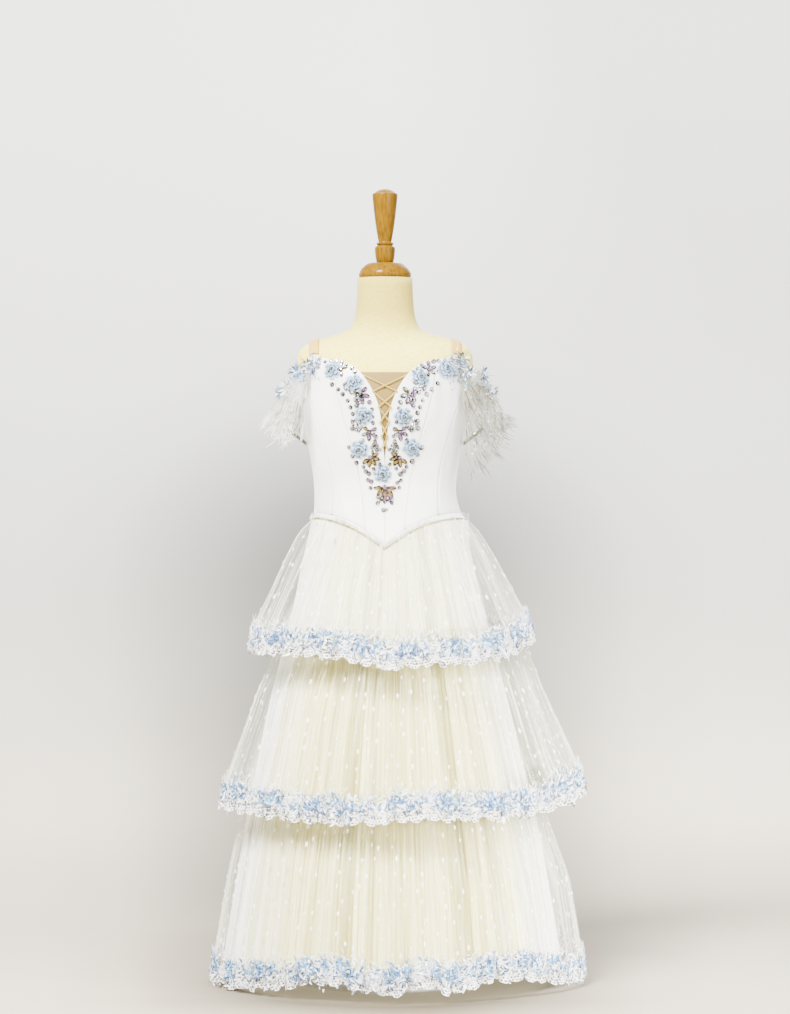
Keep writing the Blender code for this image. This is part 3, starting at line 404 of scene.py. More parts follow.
# ---- cloth as it was cut
CUTS = table(  # what shows of each cloth, with its area where it isn't a rectangle; {} is L and R
    "piece width length area held rests_on",
    ("underskirt_cloth", 1.80, 0.700, 0.95, "gathered", "torso"),
    ("net_tier_1", 1.50, 0.215, None, "gathered", "underskirt_cloth"),
    ("net_tier_2", 1.95, 0.280, None, "gathered", "underskirt_cloth"),
    ("net_tier_3", 2.00, 0.295, None, "gathered", "underskirt_cloth"),
    ("sleeve_net_L", 0.22, 0.165, 0.030, "gathered", "satin_side_L"),
    ("sleeve_net_R", 0.22, 0.110, 0.024, "gathered", "satin_side_R"),
    ("sleeve_puff_L", 0.22, 0.068, 0.014, "gathered", "sleeve_net_L"),
    ("sleeve_puff_R", 0.22, 0.075, 0.016, "gathered", "sleeve_net_R"),
    ("satin_centre_front_{}", 0.082, 0.290, 0.0134, "stretched", "torso"),
    ("satin_side_front_{}", 0.085, 0.272, 0.0142, "stretched", "torso"),
    ("satin_side_{}", 0.088, 0.224, 0.0165, "stretched", "torso"),
    ("satin_side_back_{}", 0.092, 0.230, 0.0178, "stretched", "torso"),
    ("satin_centre_back_{}", 0.085, 0.248, 0.0187, "stretched", "torso"),
    ("mesh_insert", 0.087, 0.131, 0.0048, "stretched", "torso"),
    ("waist_piping", 0.010, 0.700, None, "stretched", "torso"),
    ("shoulder_elastic_{}", 0.0155, 0.165, None, "stretched", "torso"),
)
TRIMS = {  # the pieces that are sewn to a cloth
    "net_tier_1": ("net_dots_1", "lace_sprays_1"),
    "net_tier_2": ("net_dots_2", "lace_sprays_2"),
    "net_tier_3": ("net_dots_3", "lace_sprays_3"),
    "sleeve_net_L": ("sleeve_sprays_L", "sleeve_wisps_L"),
    "sleeve_net_R": ("sleeve_sprays_R", "sleeve_wisps_R"),
    "satin_centre_front_L": ("cut_stones", "corner_lace"),
    "mesh_insert": ("twisted_cord_L", "twisted_cord_R"),
}


# ==== node materials
class Value:
    """What varies over a surface: its sums, products and ramps are nodes of their own."""

    def __init__(self, shader, socket):
        self.shader = shader
        self.socket = socket

    def __add__(self, other):
        return self.shader.math("ADD", self, other)

    def __sub__(self, other):
        return self.shader.math("SUBTRACT", self, other)

    def __rsub__(self, other):
        return self.shader.math("SUBTRACT", other, self)

    def __mul__(self, other):
        return self.shader.math("MULTIPLY", self, other)

    def __truediv__(self, other):
        return self.shader.math("DIVIDE", self, other)

    def __pow__(self, other):
        return self.shader.math("POWER", self, other)

    def __abs__(self):
        return self.shader.math("ABSOLUTE", self)

    def at_least(self, other):
        return self.shader.math("MAXIMUM", self, other)

    def at_most(self, other):
        return self.shader.math("MINIMUM", self, other)

    def ramp(self, *stops):
        """Colours, or single values, at places along this value."""
        node = self.shader.node("ValToRGB", {"Fac": self})
        elements = node.color_ramp.elements
        while len(elements) < len(stops):
            elements.new(0.5)
        for element, (place, colour) in zip(elements, stops):
            element.position = place
            if isinstance(colour, (int, float)):
                colour = (colour, colour, colour)
            element.color = (*colour, 1.0)
        return Value(self.shader, node.outputs["Color"])

    def tinted(self, other):
        """This colour multiplied by another."""
        return self.shader.mix(1.0, self, other, "MULTIPLY")


class Shader:
    """A material under construction: adds nodes by kind and joins them by socket."""

    def __init__(self, name, colour=(0.8, 0.8, 0.8), roughness=0.5, **settings):
        self.material = bpy.data.materials.new(name)
        self.material.use_nodes = True
        self.tree = self.material.node_tree
        self.surface = self.tree.nodes["Principled BSDF"]
        self.set(Base_Color=colour, Roughness=roughness, **settings)

    def plug(self, value, socket):
        """Joins a value to a socket, or gives the socket a number, a vector or a colour."""
        if isinstance(value, Value):
            self.tree.links.new(value.socket, socket)
        elif socket.type == "RGBA":
            socket.default_value = (*value, 1.0)
        else:
            socket.default_value = value

    def set(self, **values):
        """Sets the surface's sockets, named with _ for a space."""
        for name, value in values.items():
            self.plug(value, self.surface.inputs[name.replace("_", " ")])

    def node(self, kind, inputs, **attributes):
        """A new node, with its inputs and its own settings."""
        node = self.tree.nodes.new("ShaderNode" + kind)
        for name, value in attributes.items():
            setattr(node, name, value)
        for name, value in inputs.items():
            self.plug(value, node.inputs[name])
        return node

    def add(self, kind, output, inputs=None, **attributes):
        """What a new node gives out."""
        return Value(self, self.node(kind, inputs or {}, **attributes).outputs[output])

    def position(self):
        return self.add("TexCoord", "Object")

    def attribute(self, name, output="Vector"):
        return self.add("Attribute", output, attribute_name=name)

    def axes(self, vector):
        node = self.node("SeparateXYZ", {"Vector": vector})
        return [Value(self, node.outputs[axis]) for axis in "XYZ"]

    def noise(self, vector, scale, detail=3.0, roughness=0.5, stretch=None):
        """Cloudy noise, finer along an axis the more the vector is stretched there."""
        if stretch:
            vector = self.add("Mapping", "Vector", {"Vector": vector, "Scale": stretch})
        inputs = {"Vector": vector, "Scale": scale, "Detail": detail, "Roughness": roughness}
        return self.add("TexNoise", "Fac", inputs)

    def math(self, operation, first, second=0.0):
        """What a Math node makes of one or two values."""
        node = self.node("Math", {}, operation=operation)
        self.plug(first, node.inputs[0])
        self.plug(second, node.inputs[1])
        return Value(self, node.outputs["Value"])

    def mix(self, factor, first, second, blend="MIX"):
        """The second colour laid over the first, as much as the factor says."""
        node = self.node("Mix", {}, data_type="RGBA", blend_type=blend)
        sockets = {socket.name: socket for socket in node.inputs if socket.enabled}
        for name, value in (("Factor", factor), ("A", first), ("B", second)):
            self.plug(value, sockets[name])
        return Value(self, [socket for socket in node.outputs if socket.enabled][0])

    def bump(self, height, strength, distance):
        inputs = {"Height": height, "Strength": strength, "Distance": distance}
        self.set(Normal=self.add("Bump", "Normal", inputs))

    def see_through(self, opacity):
        """Lets what lies behind show, by how much the cloth's threads leave open."""
        clear = self.node("BsdfTransparent", {})
        mixed = self.node("MixShader", {"Fac": opacity})
        output = self.tree.nodes["Material Output"]
        self.tree.links.new(clear.outputs["BSDF"], mixed.inputs[1])
        self.tree.links.new(self.surface.outputs["BSDF"], mixed.inputs[2])
        self.tree.links.new(mixed.outputs["Shader"], output.inputs["Surface"])


def satin_material():
    """White satin, a little grey in soft patches as painted shade for shallow dips, and darker from painted
    shade in the creases beside seams and trims.
    """
    shader = Shader("satin", (0.90, 0.91, 0.92), 0.34, Sheen_Weight=0.35, Sheen_Roughness=0.4)
    place = shader.position()
    cloth = shader.noise(place, 9.0, 2.0).ramp((0.32, (0.76, 0.78, 0.79)), (0.68, (1.0, 1.0, 0.96)))
    # painted shade: ambient occlusion darkens the satin near other surfaces
    crease = shader.add("AmbientOcclusion", "AO", {"Distance": SATIN_CREASE}, samples=6)
    grain = shader.noise(place, 900.0, 2.0, stretch=(1.0, 1.0, 0.12))
    ripple = shader.noise(place, 15.0, 2.0, stretch=(1.0, 1.0, 0.5))
    shader.set(Base_Color=cloth.tinted(crease.ramp((0.25, 0.42), (0.80, 1.0))))
    shader.set(Roughness=grain.ramp((0.2, 0.30), (0.8, 0.44)))
    shader.bump(ripple + grain * 0.02, 0.62, 0.020)
    return shader.material


def net_material(name, top_shade, pale):
    """Sheer gathered net: pale threads that lie closer together in streaks down the pleats.

    At the sides it is painted whiter, as light showing through there, and more open than at the front and
    back; its top is painted darker, as shade under the cloth above.
    """
    shader = Shader(name, roughness=0.75, Sheen_Weight=0.3, Sheen_Roughness=0.5)
    around = shader.attribute("around")
    fine = shader.noise(around, 1.0, 2.5, 0.6, (105.0, 105.0, 1.5))
    broad = shader.noise(around, 1.0, 2.0, stretch=(8.0, 8.0, 0.8))
    streak = fine * 0.68 + broad * 0.32
    ahead, _, down = shader.axes(around)
    facing = abs(ahead)
    cloth = streak.ramp((0.42, (0.55, 0.52, 0.21)), (0.53, pale))
    # painted light: whiter towards the sides, where the net is lit through
    cloth = shader.mix(facing.ramp((0.40, 0.55), (0.75, 0.0)), cloth, (0.98, 0.98, 0.94))
    # painted shade at the top, under the cloth that hangs over it
    shader.set(Base_Color=cloth.tinted(down.ramp((0.12, top_shade), (0.34, 1.0))))
    gauze = streak.ramp((0.44, 0.06), (0.60, 0.44))
    shader.see_through(gauze * facing.ramp((0.15, 0.78), (0.55, 1.0)))
    return shader.material


def sleeve_net_material():
    """Crumpled sheer net, with thin grey lines where its pleats turn edge on, painted darker or lighter for
    each ruffle by how much it lies in shade.
    """
    shader = Shader("sleeve_net", roughness=0.7, Sheen_Weight=0.25)
    around = shader.attribute("around")
    _, shade, _ = shader.axes(around)
    fine = shader.noise(around, 1.0, 2.5, 0.6, (96.0, 0.0, 1.6))
    cloud = shader.noise(around, 1.0, 2.0, stretch=(14.0, 0.0, 5.0))
    thin = shader.noise(around, 1.0, 1.0, stretch=(52.0, 0.0, 0.8))
    line = abs(thin - 0.5).ramp((0.007, 1.0), (0.017, 0.0))
    # painted shade: each ruffle mixes the shaded and the lit colour by its shade
    dull = fine.ramp((0.40, (0.12, 0.11, 0.04)), (0.58, (0.41, 0.39, 0.20)))
    bright = fine.ramp((0.40, (0.46, 0.45, 0.33)), (0.58, (0.98, 0.98, 0.93)))
    shader.set(Base_Color=shader.mix(line, shader.mix(shade, dull, bright), (0.11, 0.11, 0.11)))
    thick = fine.ramp((0.42, 0.12), (0.62, 0.62)) * cloud.ramp((0.35, 0.5), (0.65, 1.0))
    edge_on = line * (0.75 - shade * 0.72)
    shader.see_through(thick.at_least(edge_on))
    return shader.material


def stone_material():
    """Foil-backed cut stones: mirror-bright facets in the stones' own tints, with painted glints in each
    facet's tint.
    """
    shader = Shader("cut_stone", roughness=0.10, Metallic=0.85, Coat_Weight=0.6, Coat_Roughness=0.04)
    cloud = shader.noise(shader.position(), 600.0, 1.0).ramp((0.3, 0.8), (0.7, 1.0))
    shader.set(Base_Color=shader.attribute("tint", "Color").tinted(cloud))
    return shader.material


def front_folds(turn):
    """The painted shade of the deep folds at the front, by the angle round the body in radians."""
    stops = []
    for fold in UNDERSKIRT_FOLD_SHADES:
        for way, tone in ((-1, FOLD_CREST), (0, fold.tone), (1, FOLD_CREST)):
            stops.append((0.5 + (fold.turn + way * fold.width) / 360, tone))
    return (turn / (2 * pi) + 0.5).ramp(*stops)


def underskirt_material():
    """Opaque cloth under the nets: cream at front and back with painted shade in its deep front folds,
    white towards the sides as painted light where they are lit, and painted shade under each hem.
    """
    shader = Shader("underskirt_cloth", roughness=0.6, Sheen_Weight=0.7, Sheen_Roughness=0.35)
    around = shader.attribute("around")
    ahead, aside, down = shader.axes(around)
    fine = shader.noise(around, 1.0, 2.5, 0.6, (64.0, 64.0, 1.0))
    broad = shader.noise(around, 1.0, 1.5, stretch=(7.0, 7.0, 0.5))
    panel = shader.noise(around, 1.0, 1.0, stretch=(3.4, 3.4, 0.25))
    # painted shade in the deep folds at the front
    depth = broad * 0.36 + front_folds(shader.math("ARCTAN2", aside, ahead)) * 0.64
    cream = depth.ramp(
        (0.36, (0.34, 0.31, 0.06)),
        (0.48, (0.63, 0.58, 0.20)),
        (0.60, (0.87, 0.81, 0.41)),
    )
    white = panel.ramp(
        (0.42, (0.76, 0.77, 0.79)),
        (0.50, (1.0, 1.0, 0.99)),
        (0.60, (0.88, 0.88, 0.86)),
    )
    facing = abs(ahead) + (broad - 0.5) * 0.6
    # painted light: whiter towards the sides, where they are lit
    cloth = shader.mix(facing.ramp((0.44, 0.0), (0.74, 1.0)), white, cream)
    cloth = cloth.tinted(fine.ramp((0.36, (0.64, 0.61, 0.44)), (0.56, 1.0)))
    cloth = shader.mix(down.ramp((0.20, 0.36), (0.29, 0.0)), cloth, (0.94, 0.94, 0.88))
    # painted shade under the two upper nets' hems
    hems = down.ramp(
        (0.25, 1.0), (0.29, HEM_SHADE), (0.37, 1.0),
        (0.60, 1.0), (0.635, HEM_SHADE), (0.74, 1.0),
    )
    shader.set(Base_Color=cloth.tinted(hems))
    shader.bump(fine, 0.5, 0.002)
    return shader.material


def tinted_material(name, roughness, grain_scale, **settings):
    """Thread or cloth whose colour is set piece by piece in the mesh."""
    shader = Shader(name, roughness=roughness, **settings)
    grain = shader.noise(shader.position(), grain_scale, 2.0)
    shader.set(Base_Color=shader.attribute("tint", "Color").tinted(grain.ramp((0.3, 0.80), (0.7, 1.0))))
    shader.bump(grain, 0.35, 0.0006)
    return shader.material


def edging_material():
    """The white openwork edge under the sprays: staggered rows of small round holes with shaded rims."""
    shader = Shader("lace_edging", (0.94, 0.95, 0.96), 0.7)
    along, up, _ = shader.axes(shader.attribute("layout"))
    rows = up / EDGING_HOLE[1]
    stagger = shader.math("MODULO", shader.math("FLOOR", rows), 2.0) * 0.5
    cells = along / EDGING_HOLE[0] + stagger
    aside, above = (shader.math("FRACT", value) - 0.5 for value in (cells, rows))
    away = aside * aside + above * above
    shader.set(Base_Color=away.ramp((0.09, (0.10, 0.09, 0.08)), (0.14, (0.96, 0.96, 0.96))))
    shader.see_through(shader.math("GREATER_THAN", away, 0.05))
    return shader.material


def mesh_insert_material():
    """Skin-coloured stretch mesh, brown in its small cells."""
    shader = Shader("skin_mesh", (0.62, 0.47, 0.27), 0.62, Sheen_Weight=0.3)
    cells = shader.add("TexVoronoi", "Distance", {"Vector": shader.position(), "Scale": 900.0})
    shader.set(Base_Color=cells.ramp((0.1, (0.25, 0.155, 0.008)), (0.6, (0.16, 0.095, 0.004))))
    shader.bump(cells, 0.4, 0.0006)
    return shader.material


def elastic_material(name, low, high):
    """Ribbed elastic, its ribs running along it."""
    shader = Shader(name, high, 0.6, Sheen_Weight=0.1)
    ribs = shader.add("TexWave", "Fac", {"Vector": shader.position(), "Scale": 240.0})
    shader.set(Base_Color=ribs.ramp((0.2, low), (0.8, high)))
    shader.bump(ribs, 0.4, 0.0006)
    return shader.material


def linen_material():
    """Slubbed linen over the form's torso, painted darker as shade where the neck goes up into its cap."""
    shader = Shader("linen", (0.80, 0.75, 0.62), 0.82, Sheen_Weight=0.15)
    place = shader.position()
    weave = {"Vector": place, "Scale": 420.0, "Distortion": 0.6, "Detail": 1.0}
    warp, weft = (shader.add("TexWave", "Fac", weave, bands_direction=way) for way in "XZ")
    slubs = shader.noise(place, 130.0, 3.0, stretch=(1.0, 1.0, 3.0))
    colour = slubs.ramp((0.30, (0.78, 0.66, 0.11)), (0.66, (0.92, 0.81, 0.17)))
    _, _, height = shader.axes(place)
    # painted shade: the neck darker than the chest, as it lies out of the light
    colour = colour.tinted((height - 0.5).ramp((0.51, 1.0), (0.57, (0.60, 0.55, 0.40))))
    cloud = shader.noise(place, 14.0, 2.0)
    shader.set(Base_Color=colour.tinted(cloud.ramp((0.3, (0.95, 0.93, 0.88)), (0.7, 1.0))))
    shader.bump((warp + weft) * 0.4 + slubs, 0.45, 0.0008)
    return shader.material


def wood_material():
    """Dark varnished wood, its grain upright."""
    shader = Shader(
        "varnished_wood", roughness=0.4, Coat_Weight=0.09, Coat_Roughness=0.04, Specular_IOR_Level=0.06,
    )
    place = shader.position()
    grain = shader.noise(place, 420.0, 4.0, 0.6, (1.0, 1.0, 0.045))
    figure = shader.noise(place, 70.0, 3.0, stretch=(1.0, 1.0, 0.16))
    colour = grain.ramp((0.30, (0.075, 0.034, 0.0003)), (0.66, (0.18, 0.093, 0.0008)))
    shader.set(Base_Color=colour.tinted(figure.ramp((0.3, (0.82, 0.76, 0.66)), (0.7, 1.0))))
    shader.set(Roughness=grain.ramp((0.3, 0.34), (0.7, 0.22)))
    shader.bump(grain, 0.12, 0.0008)
    return shader.material


def worn_material(name, colour, roughness, metallic, scale):
    """Paint or metal with faint smears."""
    shader = Shader(name, colour, roughness, Metallic=metallic)
    smear = shader.noise(shader.position(), scale, 4.0)
    dark = tuple(0.9 * part for part in colour)
    shader.set(Base_Color=smear.ramp((0.35, dark), (0.65, colour)))
    shader.set(Roughness=smear.ramp((0.3, roughness * 0.8), (0.7, roughness * 1.2)))
    return shader.material


def studio_tone(shader, x, y, z):
    """Cool above and warmer below; painted shade darkens the upper right and lower left, seen from the
    front.
    """
    tone = (z / 3.0).ramp(
        (0.0, (0.52, 0.465, 0.365)),
        (0.06, (0.54, 0.50, 0.425)),
        (0.30, (0.60, 0.60, 0.585)),
        (0.80, (0.72, 0.72, 0.72)),
    )
    tone = tone.tinted(shader.noise(shader.position(), 0.5, 1.0).ramp((0.3, 0.94), (0.7, 1.0)))
    # painted shade in two far corners of the studio
    for side, start, rise, depth in ((0.75, 0.5, 1.1, 0.20), (-0.9, 0.6, -1.0, 0.16)):
        across = (x * side).at_least(0.0)
        corner = across * ((z - start) / rise).at_least(0.0) * (y * 0.13)
        tone = tone.tinted((1.0 - corner * depth).at_least(0.78))
    return tone


def shade_behind(shader, x, y, z):
    """The soft wide shade on the studio behind the dress, deeper near the floor."""
    aside = (x + y * SHADE_DRIFT) / (y * SHADE_WIDENS + SHADE_BREADTH)
    above = (z - SHADE_LEVEL).at_least(0.0) / SHADE_RISE
    away = aside * aside + above * above
    shade = away.ramp(
        (0.0, 0.22), (0.06, 0.27), (0.157, 0.40), (0.213, 0.48), (0.39, 0.66), (0.60, 0.88), (1.0, 1.0),
    )
    low = (1.0 - z / 0.3).at_least(0.0)
    near = (1.0 - away / 0.45).at_least(0.0)
    back = (y - 0.2).at_least(0.0).at_most(1.0)
    shade = shade.tinted(1.0 - low * near * back * 0.34)
    return shader.mix((y + 0.45).ramp((0.02, 0.0), (0.22, 1.0)), WHITE, shade)


def distance(aside, ahead):
    """How far a place lies from the origin."""
    return (aside * aside + ahead * ahead) ** 0.5


def stage_material():
    """A pale studio: the dress's painted shade behind it, a painted pool of shade round its hem, and a
    painted glow under it.
    """
    shader = Shader("studio_wall", roughness=0.9, Emission_Color=UNDER_GLOW)
    x, y, z = shader.axes(shader.position())
    tone = studio_tone(shader, x, y, z).tinted(shade_behind(shader, x, y, z))
    left = x - POOL_CENTRE
    pool = distance(left.at_least(left * POOL_LONGER[0]), y * POOL_LONGER[1]).ramp(
        (0.10, (0.40, 0.34, 0.23)),
        (0.17, (0.76, 0.72, 0.64)),
        (0.28, (0.93, 0.90, 0.86)),
        (0.36, 1.0),
    )
    shader.set(Base_Color=tone.tinted(pool))
    # painted glow: the floor emits light under the skirt, fading out just past the hem
    under = distance(x.at_least(x * GLOW_SHORTER[0]), y.at_least(y * GLOW_SHORTER[1]))
    shader.set(Emission_Strength=under.ramp((0.245, 1.0), (0.285, 0.0)))
    return shader.material


# ==== meshes
def unit(vectors):
    """Vectors in rows, each scaled to a length of 1."""
    return vectors / np.linalg.norm(vectors, axis=1)[:, None]


def run_of(path):
    """How far along a path each of its points lies."""
    return np.concatenate([[0.0], np.cumsum(np.linalg.norm(np.diff(path, axis=0), axis=1))])


def read(at, known, rows):
    """Rows of values known at some places, read at others."""
    return np.stack([np.interp(at, known, column) for column in rows.T], -1)


def add_piece(name, mesh, material):
    """An object in the scene, of one material."""
    item = bpy.data.objects.new(name, mesh)
    bpy.context.scene.collection.objects.link(item)
    mesh.materials.append(material)
    return item


def grid_faces(rows, columns, closed=False):
    """Quads between rows of points, each row running anticlockwise seen from above, upper first."""
    row = np.arange(rows - 1)[:, None] * columns
    here = np.arange(columns if closed else columns - 1)[None, :]
    after = (here + 1) % columns
    faces = np.stack([row + here, row + columns + here, row + columns + after, row + after], -1)
    return faces.reshape(-1, 4)


def build_mesh(name, points, faces, smooth=True, **attributes):
    """A mesh with named point attributes, three or four numbers wide."""
    mesh = bpy.data.meshes.new(name)
    mesh.from_pydata(np.asarray(points, float).tolist(), [], [list(map(int, f)) for f in faces])
    for key, values in attributes.items():
        values = np.asarray(values, float)
        kind, field = ("FLOAT_COLOR", "color") if values.shape[1] == 4 else ("FLOAT_VECTOR", "vector")
        layer = mesh.attributes.new(key, kind, "POINT")
        layer.data.foreach_set(field, values.ravel())
    if smooth:
        mesh.shade_smooth()
    return mesh


class Pile:
    """Many small pieces gathered into one mesh, each with its own tint."""

    def __init__(self):
        self.points, self.faces, self.tints, self.count = [], [], [], 0

    def add(self, points, faces, tint):
        """Adds a piece of one tint."""
        self.points.append(np.asarray(points, float))
        self.faces += [[k + self.count for k in face] for face in faces]
        self.tints.append(np.tile((*tint, 1.0), (len(points), 1)))
        self.count += len(points)

    def add_leaf(self, points, tint, rng, amount=0.12):
        """Adds a lace leaf, whose tint is a little lighter or darker than its name says."""
        shade = 1 + rng.uniform(-amount, amount)
        self.add(points, LEAF_FACES, np.clip(np.array(TINTS[tint]) * shade, 0, 1))

    def build(self, name, material, placed=None, smooth=True):
        """The pieces as one object, all their points moved first by a function if one is given."""
        points = np.concatenate(self.points)
        points = points if placed is None else placed(points)
        mesh = build_mesh(name, points, self.faces, smooth, tint=np.concatenate(self.tints))
        return add_piece(name, mesh, material)


def solid_mesh(node):
    """A CAD node as a bmesh with shared corners, its triangles joined into quads again."""
    shape = bmesh.new()
    shape.from_mesh(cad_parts[node].data)
    bmesh.ops.remove_doubles(shape, verts=shape.verts, dist=0.00001)
    bmesh.ops.join_triangles(
        shape, faces=shape.faces, angle_face_threshold=radians(30), angle_shape_threshold=radians(50),
    )
    return shape


def refined(name, node, material, levels=2, crease_from=38.0, crease=0.8):
    """A smooth copy of a CAD node, with its sharp edges kept, standing for it."""
    shape = solid_mesh(node)
    creases = shape.edges.layers.float.new("crease_edge")
    for edge in shape.edges:
        if len(edge.link_faces) == 2 and edge.calc_face_angle(0.0) > radians(crease_from):
            edge[creases] = crease
    mesh = bpy.data.meshes.new(name)
    shape.to_mesh(mesh)
    shape.free()
    item = add_piece(name, mesh, material)
    rounder = item.modifiers.new("rounder", "SUBSURF")
    rounder.levels = levels
    rounder.render_levels = levels
    bpy.context.view_layer.update()
    final = bpy.data.meshes.new_from_object(item.evaluated_get(bpy.context.evaluated_depsgraph_get()))
    item.modifiers.clear()
    item.data = final
    final.shade_smooth()
    final.set_sharp_from_angle(angle=radians(50))
    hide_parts(node)
    return item


def tree_of(items):
    """A ray-casting tree of objects that lie where their meshes do."""
    points, faces = [], []
    for item in items:
        start = len(points)
        points += [vertex.co.copy() for vertex in item.data.vertices]
        faces += [[k + start for k in polygon.vertices] for polygon in item.data.polygons]
    return BVHTree.FromPolygons(points, faces)


def surface_from_front(tree, across, height):
    """The point that shows at a place seen from the front, and its outward direction."""
    for aside in (0.0, SEAM_STEP, -SEAM_STEP):
        point, normal, _, _ = tree.ray_cast(Vector((across + aside, -1.0, height)), Vector((0, 1, 0)))
        if point is not None and point.y < 0 and abs(normal.y) > 0.3:
            return point, normal if normal.y < 0 else -normal
    raise ValueError(f"nothing to sit on at {across:.4f}, {height:.4f}")


def seat(point, normal, turn=0.0, away=(0, 0, 0)):
    """A frame on a surface: X to the right, Y up, Z out, turned about Z and then moved."""
    right = Vector((0, 0, 1)).cross(normal).normalized()
    up = normal.cross(right)
    turned = Matrix((right, up, normal)).transposed() @ Matrix.Rotation(radians(turn), 3, "Z")
    return Matrix.Translation(point) @ turned.to_4x4() @ Matrix.Translation(away)


def place_points(matrix, points):
    """Points moved from a frame's own axes into the world."""
    points = np.asarray(points, float)
    return points @ np.array(matrix.to_3x3()).T + np.array(matrix.translation)


# ==== gathered shells
def circular(values, at, angles):
    """Values known at some angles, read at others, right round."""
    order = np.argsort(at)
    return np.interp(angles, at[order], values[order], period=360.0)


class Layer:
    """A gathered layer of the CAD: its hem, its top edge and its reach from its own axis."""

    def __init__(self, nodes):
        items = [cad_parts[node] for node in nodes]
        self.tree = tree_of(items)
        self.points = np.array([vertex.co for item in items for vertex in item.data.vertices])
        self.centre = (self.points[:, 0].min() + self.points[:, 0].max()) / 2
        self.turns = np.degrees(np.arctan2(self.points[:, 0] - self.centre, -self.points[:, 1]))

    def edge(self, way, angles):
        """Heights round the lowest edge (way 1) or the highest (way -1)."""
        heights = way * self.points[:, 2]
        kept = []
        for k in range(len(heights)):
            apart = np.abs((self.turns - self.turns[k] + 180) % 360 - 180)
            near = heights[apart < EDGE_WINDOW]
            if heights[k] < near.min() + EDGE_TOLERANCE:
                kept.append(k)
        return circular(self.points[kept, 2], self.turns[kept], angles)

    def reach(self, turn, height):
        """How far from the axis the layer's outside lies, or nan where it is missing."""
        direction = Vector((sin(radians(turn)), -cos(radians(turn)), 0))
        start = Vector((self.centre, 0, height)) + direction
        point, _, _, distance = self.tree.ray_cast(start, -direction)
        return 1.0 - distance if point is not None and distance < 1.0 else np.nan

    def reaches(self, angles, heights):
        """Reaches for rows of heights, with misses at seams and edges filled from beside them."""
        found = np.array([[self.reach(a, z) for a, z in zip(angles, row)] for row in heights])
        for row in found:
            missing = np.isnan(row)
            if missing.any() and not missing.all():
                row[missing] = circular(row[~missing], angles[~missing], angles[missing])
        return found


def smoothed(values, spread):
    """Each row rounded off by a bell of a spread counted in columns, right round."""
    width = int(3 * spread)
    offsets = np.arange(-width, width + 1)
    weights = np.exp(-0.5 * (offsets / spread) ** 2)
    weights /= weights.sum()
    return sum(weight * np.roll(values, k, axis=1) for weight, k in zip(weights, offsets))


def fine_pleats(angles, shares, pleating):
    """Fine folds, from -1 to 1: waves of several whole counts, which wander on the way down."""
    rng = np.random.default_rng(pleating.seed)
    turn = np.radians(angles)[None, :]
    total = 0.0
    for count in pleating.counts:
        start, wander, beat = rng.uniform(0, 2 * pi), rng.uniform(-1.6, 1.6), rng.integers(3, 9)
        swell = 0.65 + 0.35 * np.sin(beat * turn + rng.uniform(0, 2 * pi))
        total = total + swell * np.sin(count * turn + start + wander * shares)
    return total / len(pleating.counts) ** 0.5


class Shell:
    """A thin cloth shell on a gathered CAD layer."""

    def __init__(self, nodes, pleating, top_rise=0.0):
        layer = Layer(nodes)
        self.nodes = nodes
        self.centre = layer.centre
        self.angles = np.arange(-180.0, 180.0, COLUMN_STEP)
        self.shares = np.linspace(0.0, 1.0, SHELL_ROWS)[:, None]
        hem, top = (layer.edge(way, self.angles) for way in (1.0, -1.0))
        self.heights = top + top_rise + (hem - top - top_rise) * self.shares
        reach = layer.reaches(self.angles, np.clip(self.heights, hem + 0.001, top - 0.001))
        at_hem, at_top = (smoothed(reach, turn / COLUMN_STEP) for turn in (SMOOTH_TURN, SMOOTH_TOP))
        self.reach = at_top + (at_hem - at_top) * self.shares ** 1.4
        self.reach += bool(top_rise) * TOP_OUT * np.exp(-((self.shares / TOP_REACH) ** 2))
        depth = pleating.depth * (PLEATS_AT_TOP + (1 - PLEATS_AT_TOP) * self.shares ** 0.6)
        self.pleats = depth * fine_pleats(self.angles, self.shares, pleating)

    def points(self, pleated=1.0, out=0.0):
        """The shell's rows of points, with a share of its fine pleats, moved outwards."""
        reach = self.reach + pleated * self.pleats + out
        turn = np.radians(self.angles)[None, :]
        return np.stack([self.centre + reach * np.sin(turn), -reach * np.cos(turn), self.heights], -1)

    def build(self, name, material):
        """The shell's piece, whose mesh says for each point how it lies round and down the shell."""
        points = self.points()
        rows, columns = points.shape[:2]
        turn, share = np.broadcast_arrays(np.radians(self.angles)[None, :], self.shares)
        around = np.stack([np.cos(turn), np.sin(turn), share], -1).reshape(-1, 3)
        mesh = build_mesh(name, points.reshape(-1, 3), grid_faces(rows, columns, True), around=around)
        item = add_piece(name, mesh, material)
        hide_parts(*self.nodes)
        return item


class HemStrip:
    """A strip of cloth along a shell's hem: along it, up from it and out of it, in metres."""

    def __init__(self, shell):
        points = shell.points(LACE_PLEATED)
        hem = points[-1]
        down = unit(points[-1] - points[-3])
        normal = unit(np.cross(down, np.roll(hem, -1, axis=0) - np.roll(hem, 1, axis=0)))
        outward = hem[:, :2] - np.array([shell.centre, 0.0])
        normal *= np.sign((normal[:, :2] * outward).sum(1))[:, None]
        self.hem, self.down, self.normal = (np.vstack([a, a[:1]]) for a in (hem, down, normal))
        self.at = run_of(self.hem)
        self.length = self.at[-1]

    def place(self, local):
        """Points given as (along, up, out) in the row frame."""
        at = local[:, 0] % self.length
        hem, down, normal = (read(at, self.at, rows) for rows in (self.hem, self.down, self.normal))
        points = hem - down * local[:, 1:2] + normal * local[:, 2:3]
        points[:, 2] = np.maximum(points[:, 2], FLOOR_CLEARANCE)
        return points


# ==== lace and dots
LEAF_FACES = ((0, 3, 2), (0, 2, 1), (3, 6, 5, 2), (2, 5, 4, 1), (6, 7, 5), (5, 7, 4))


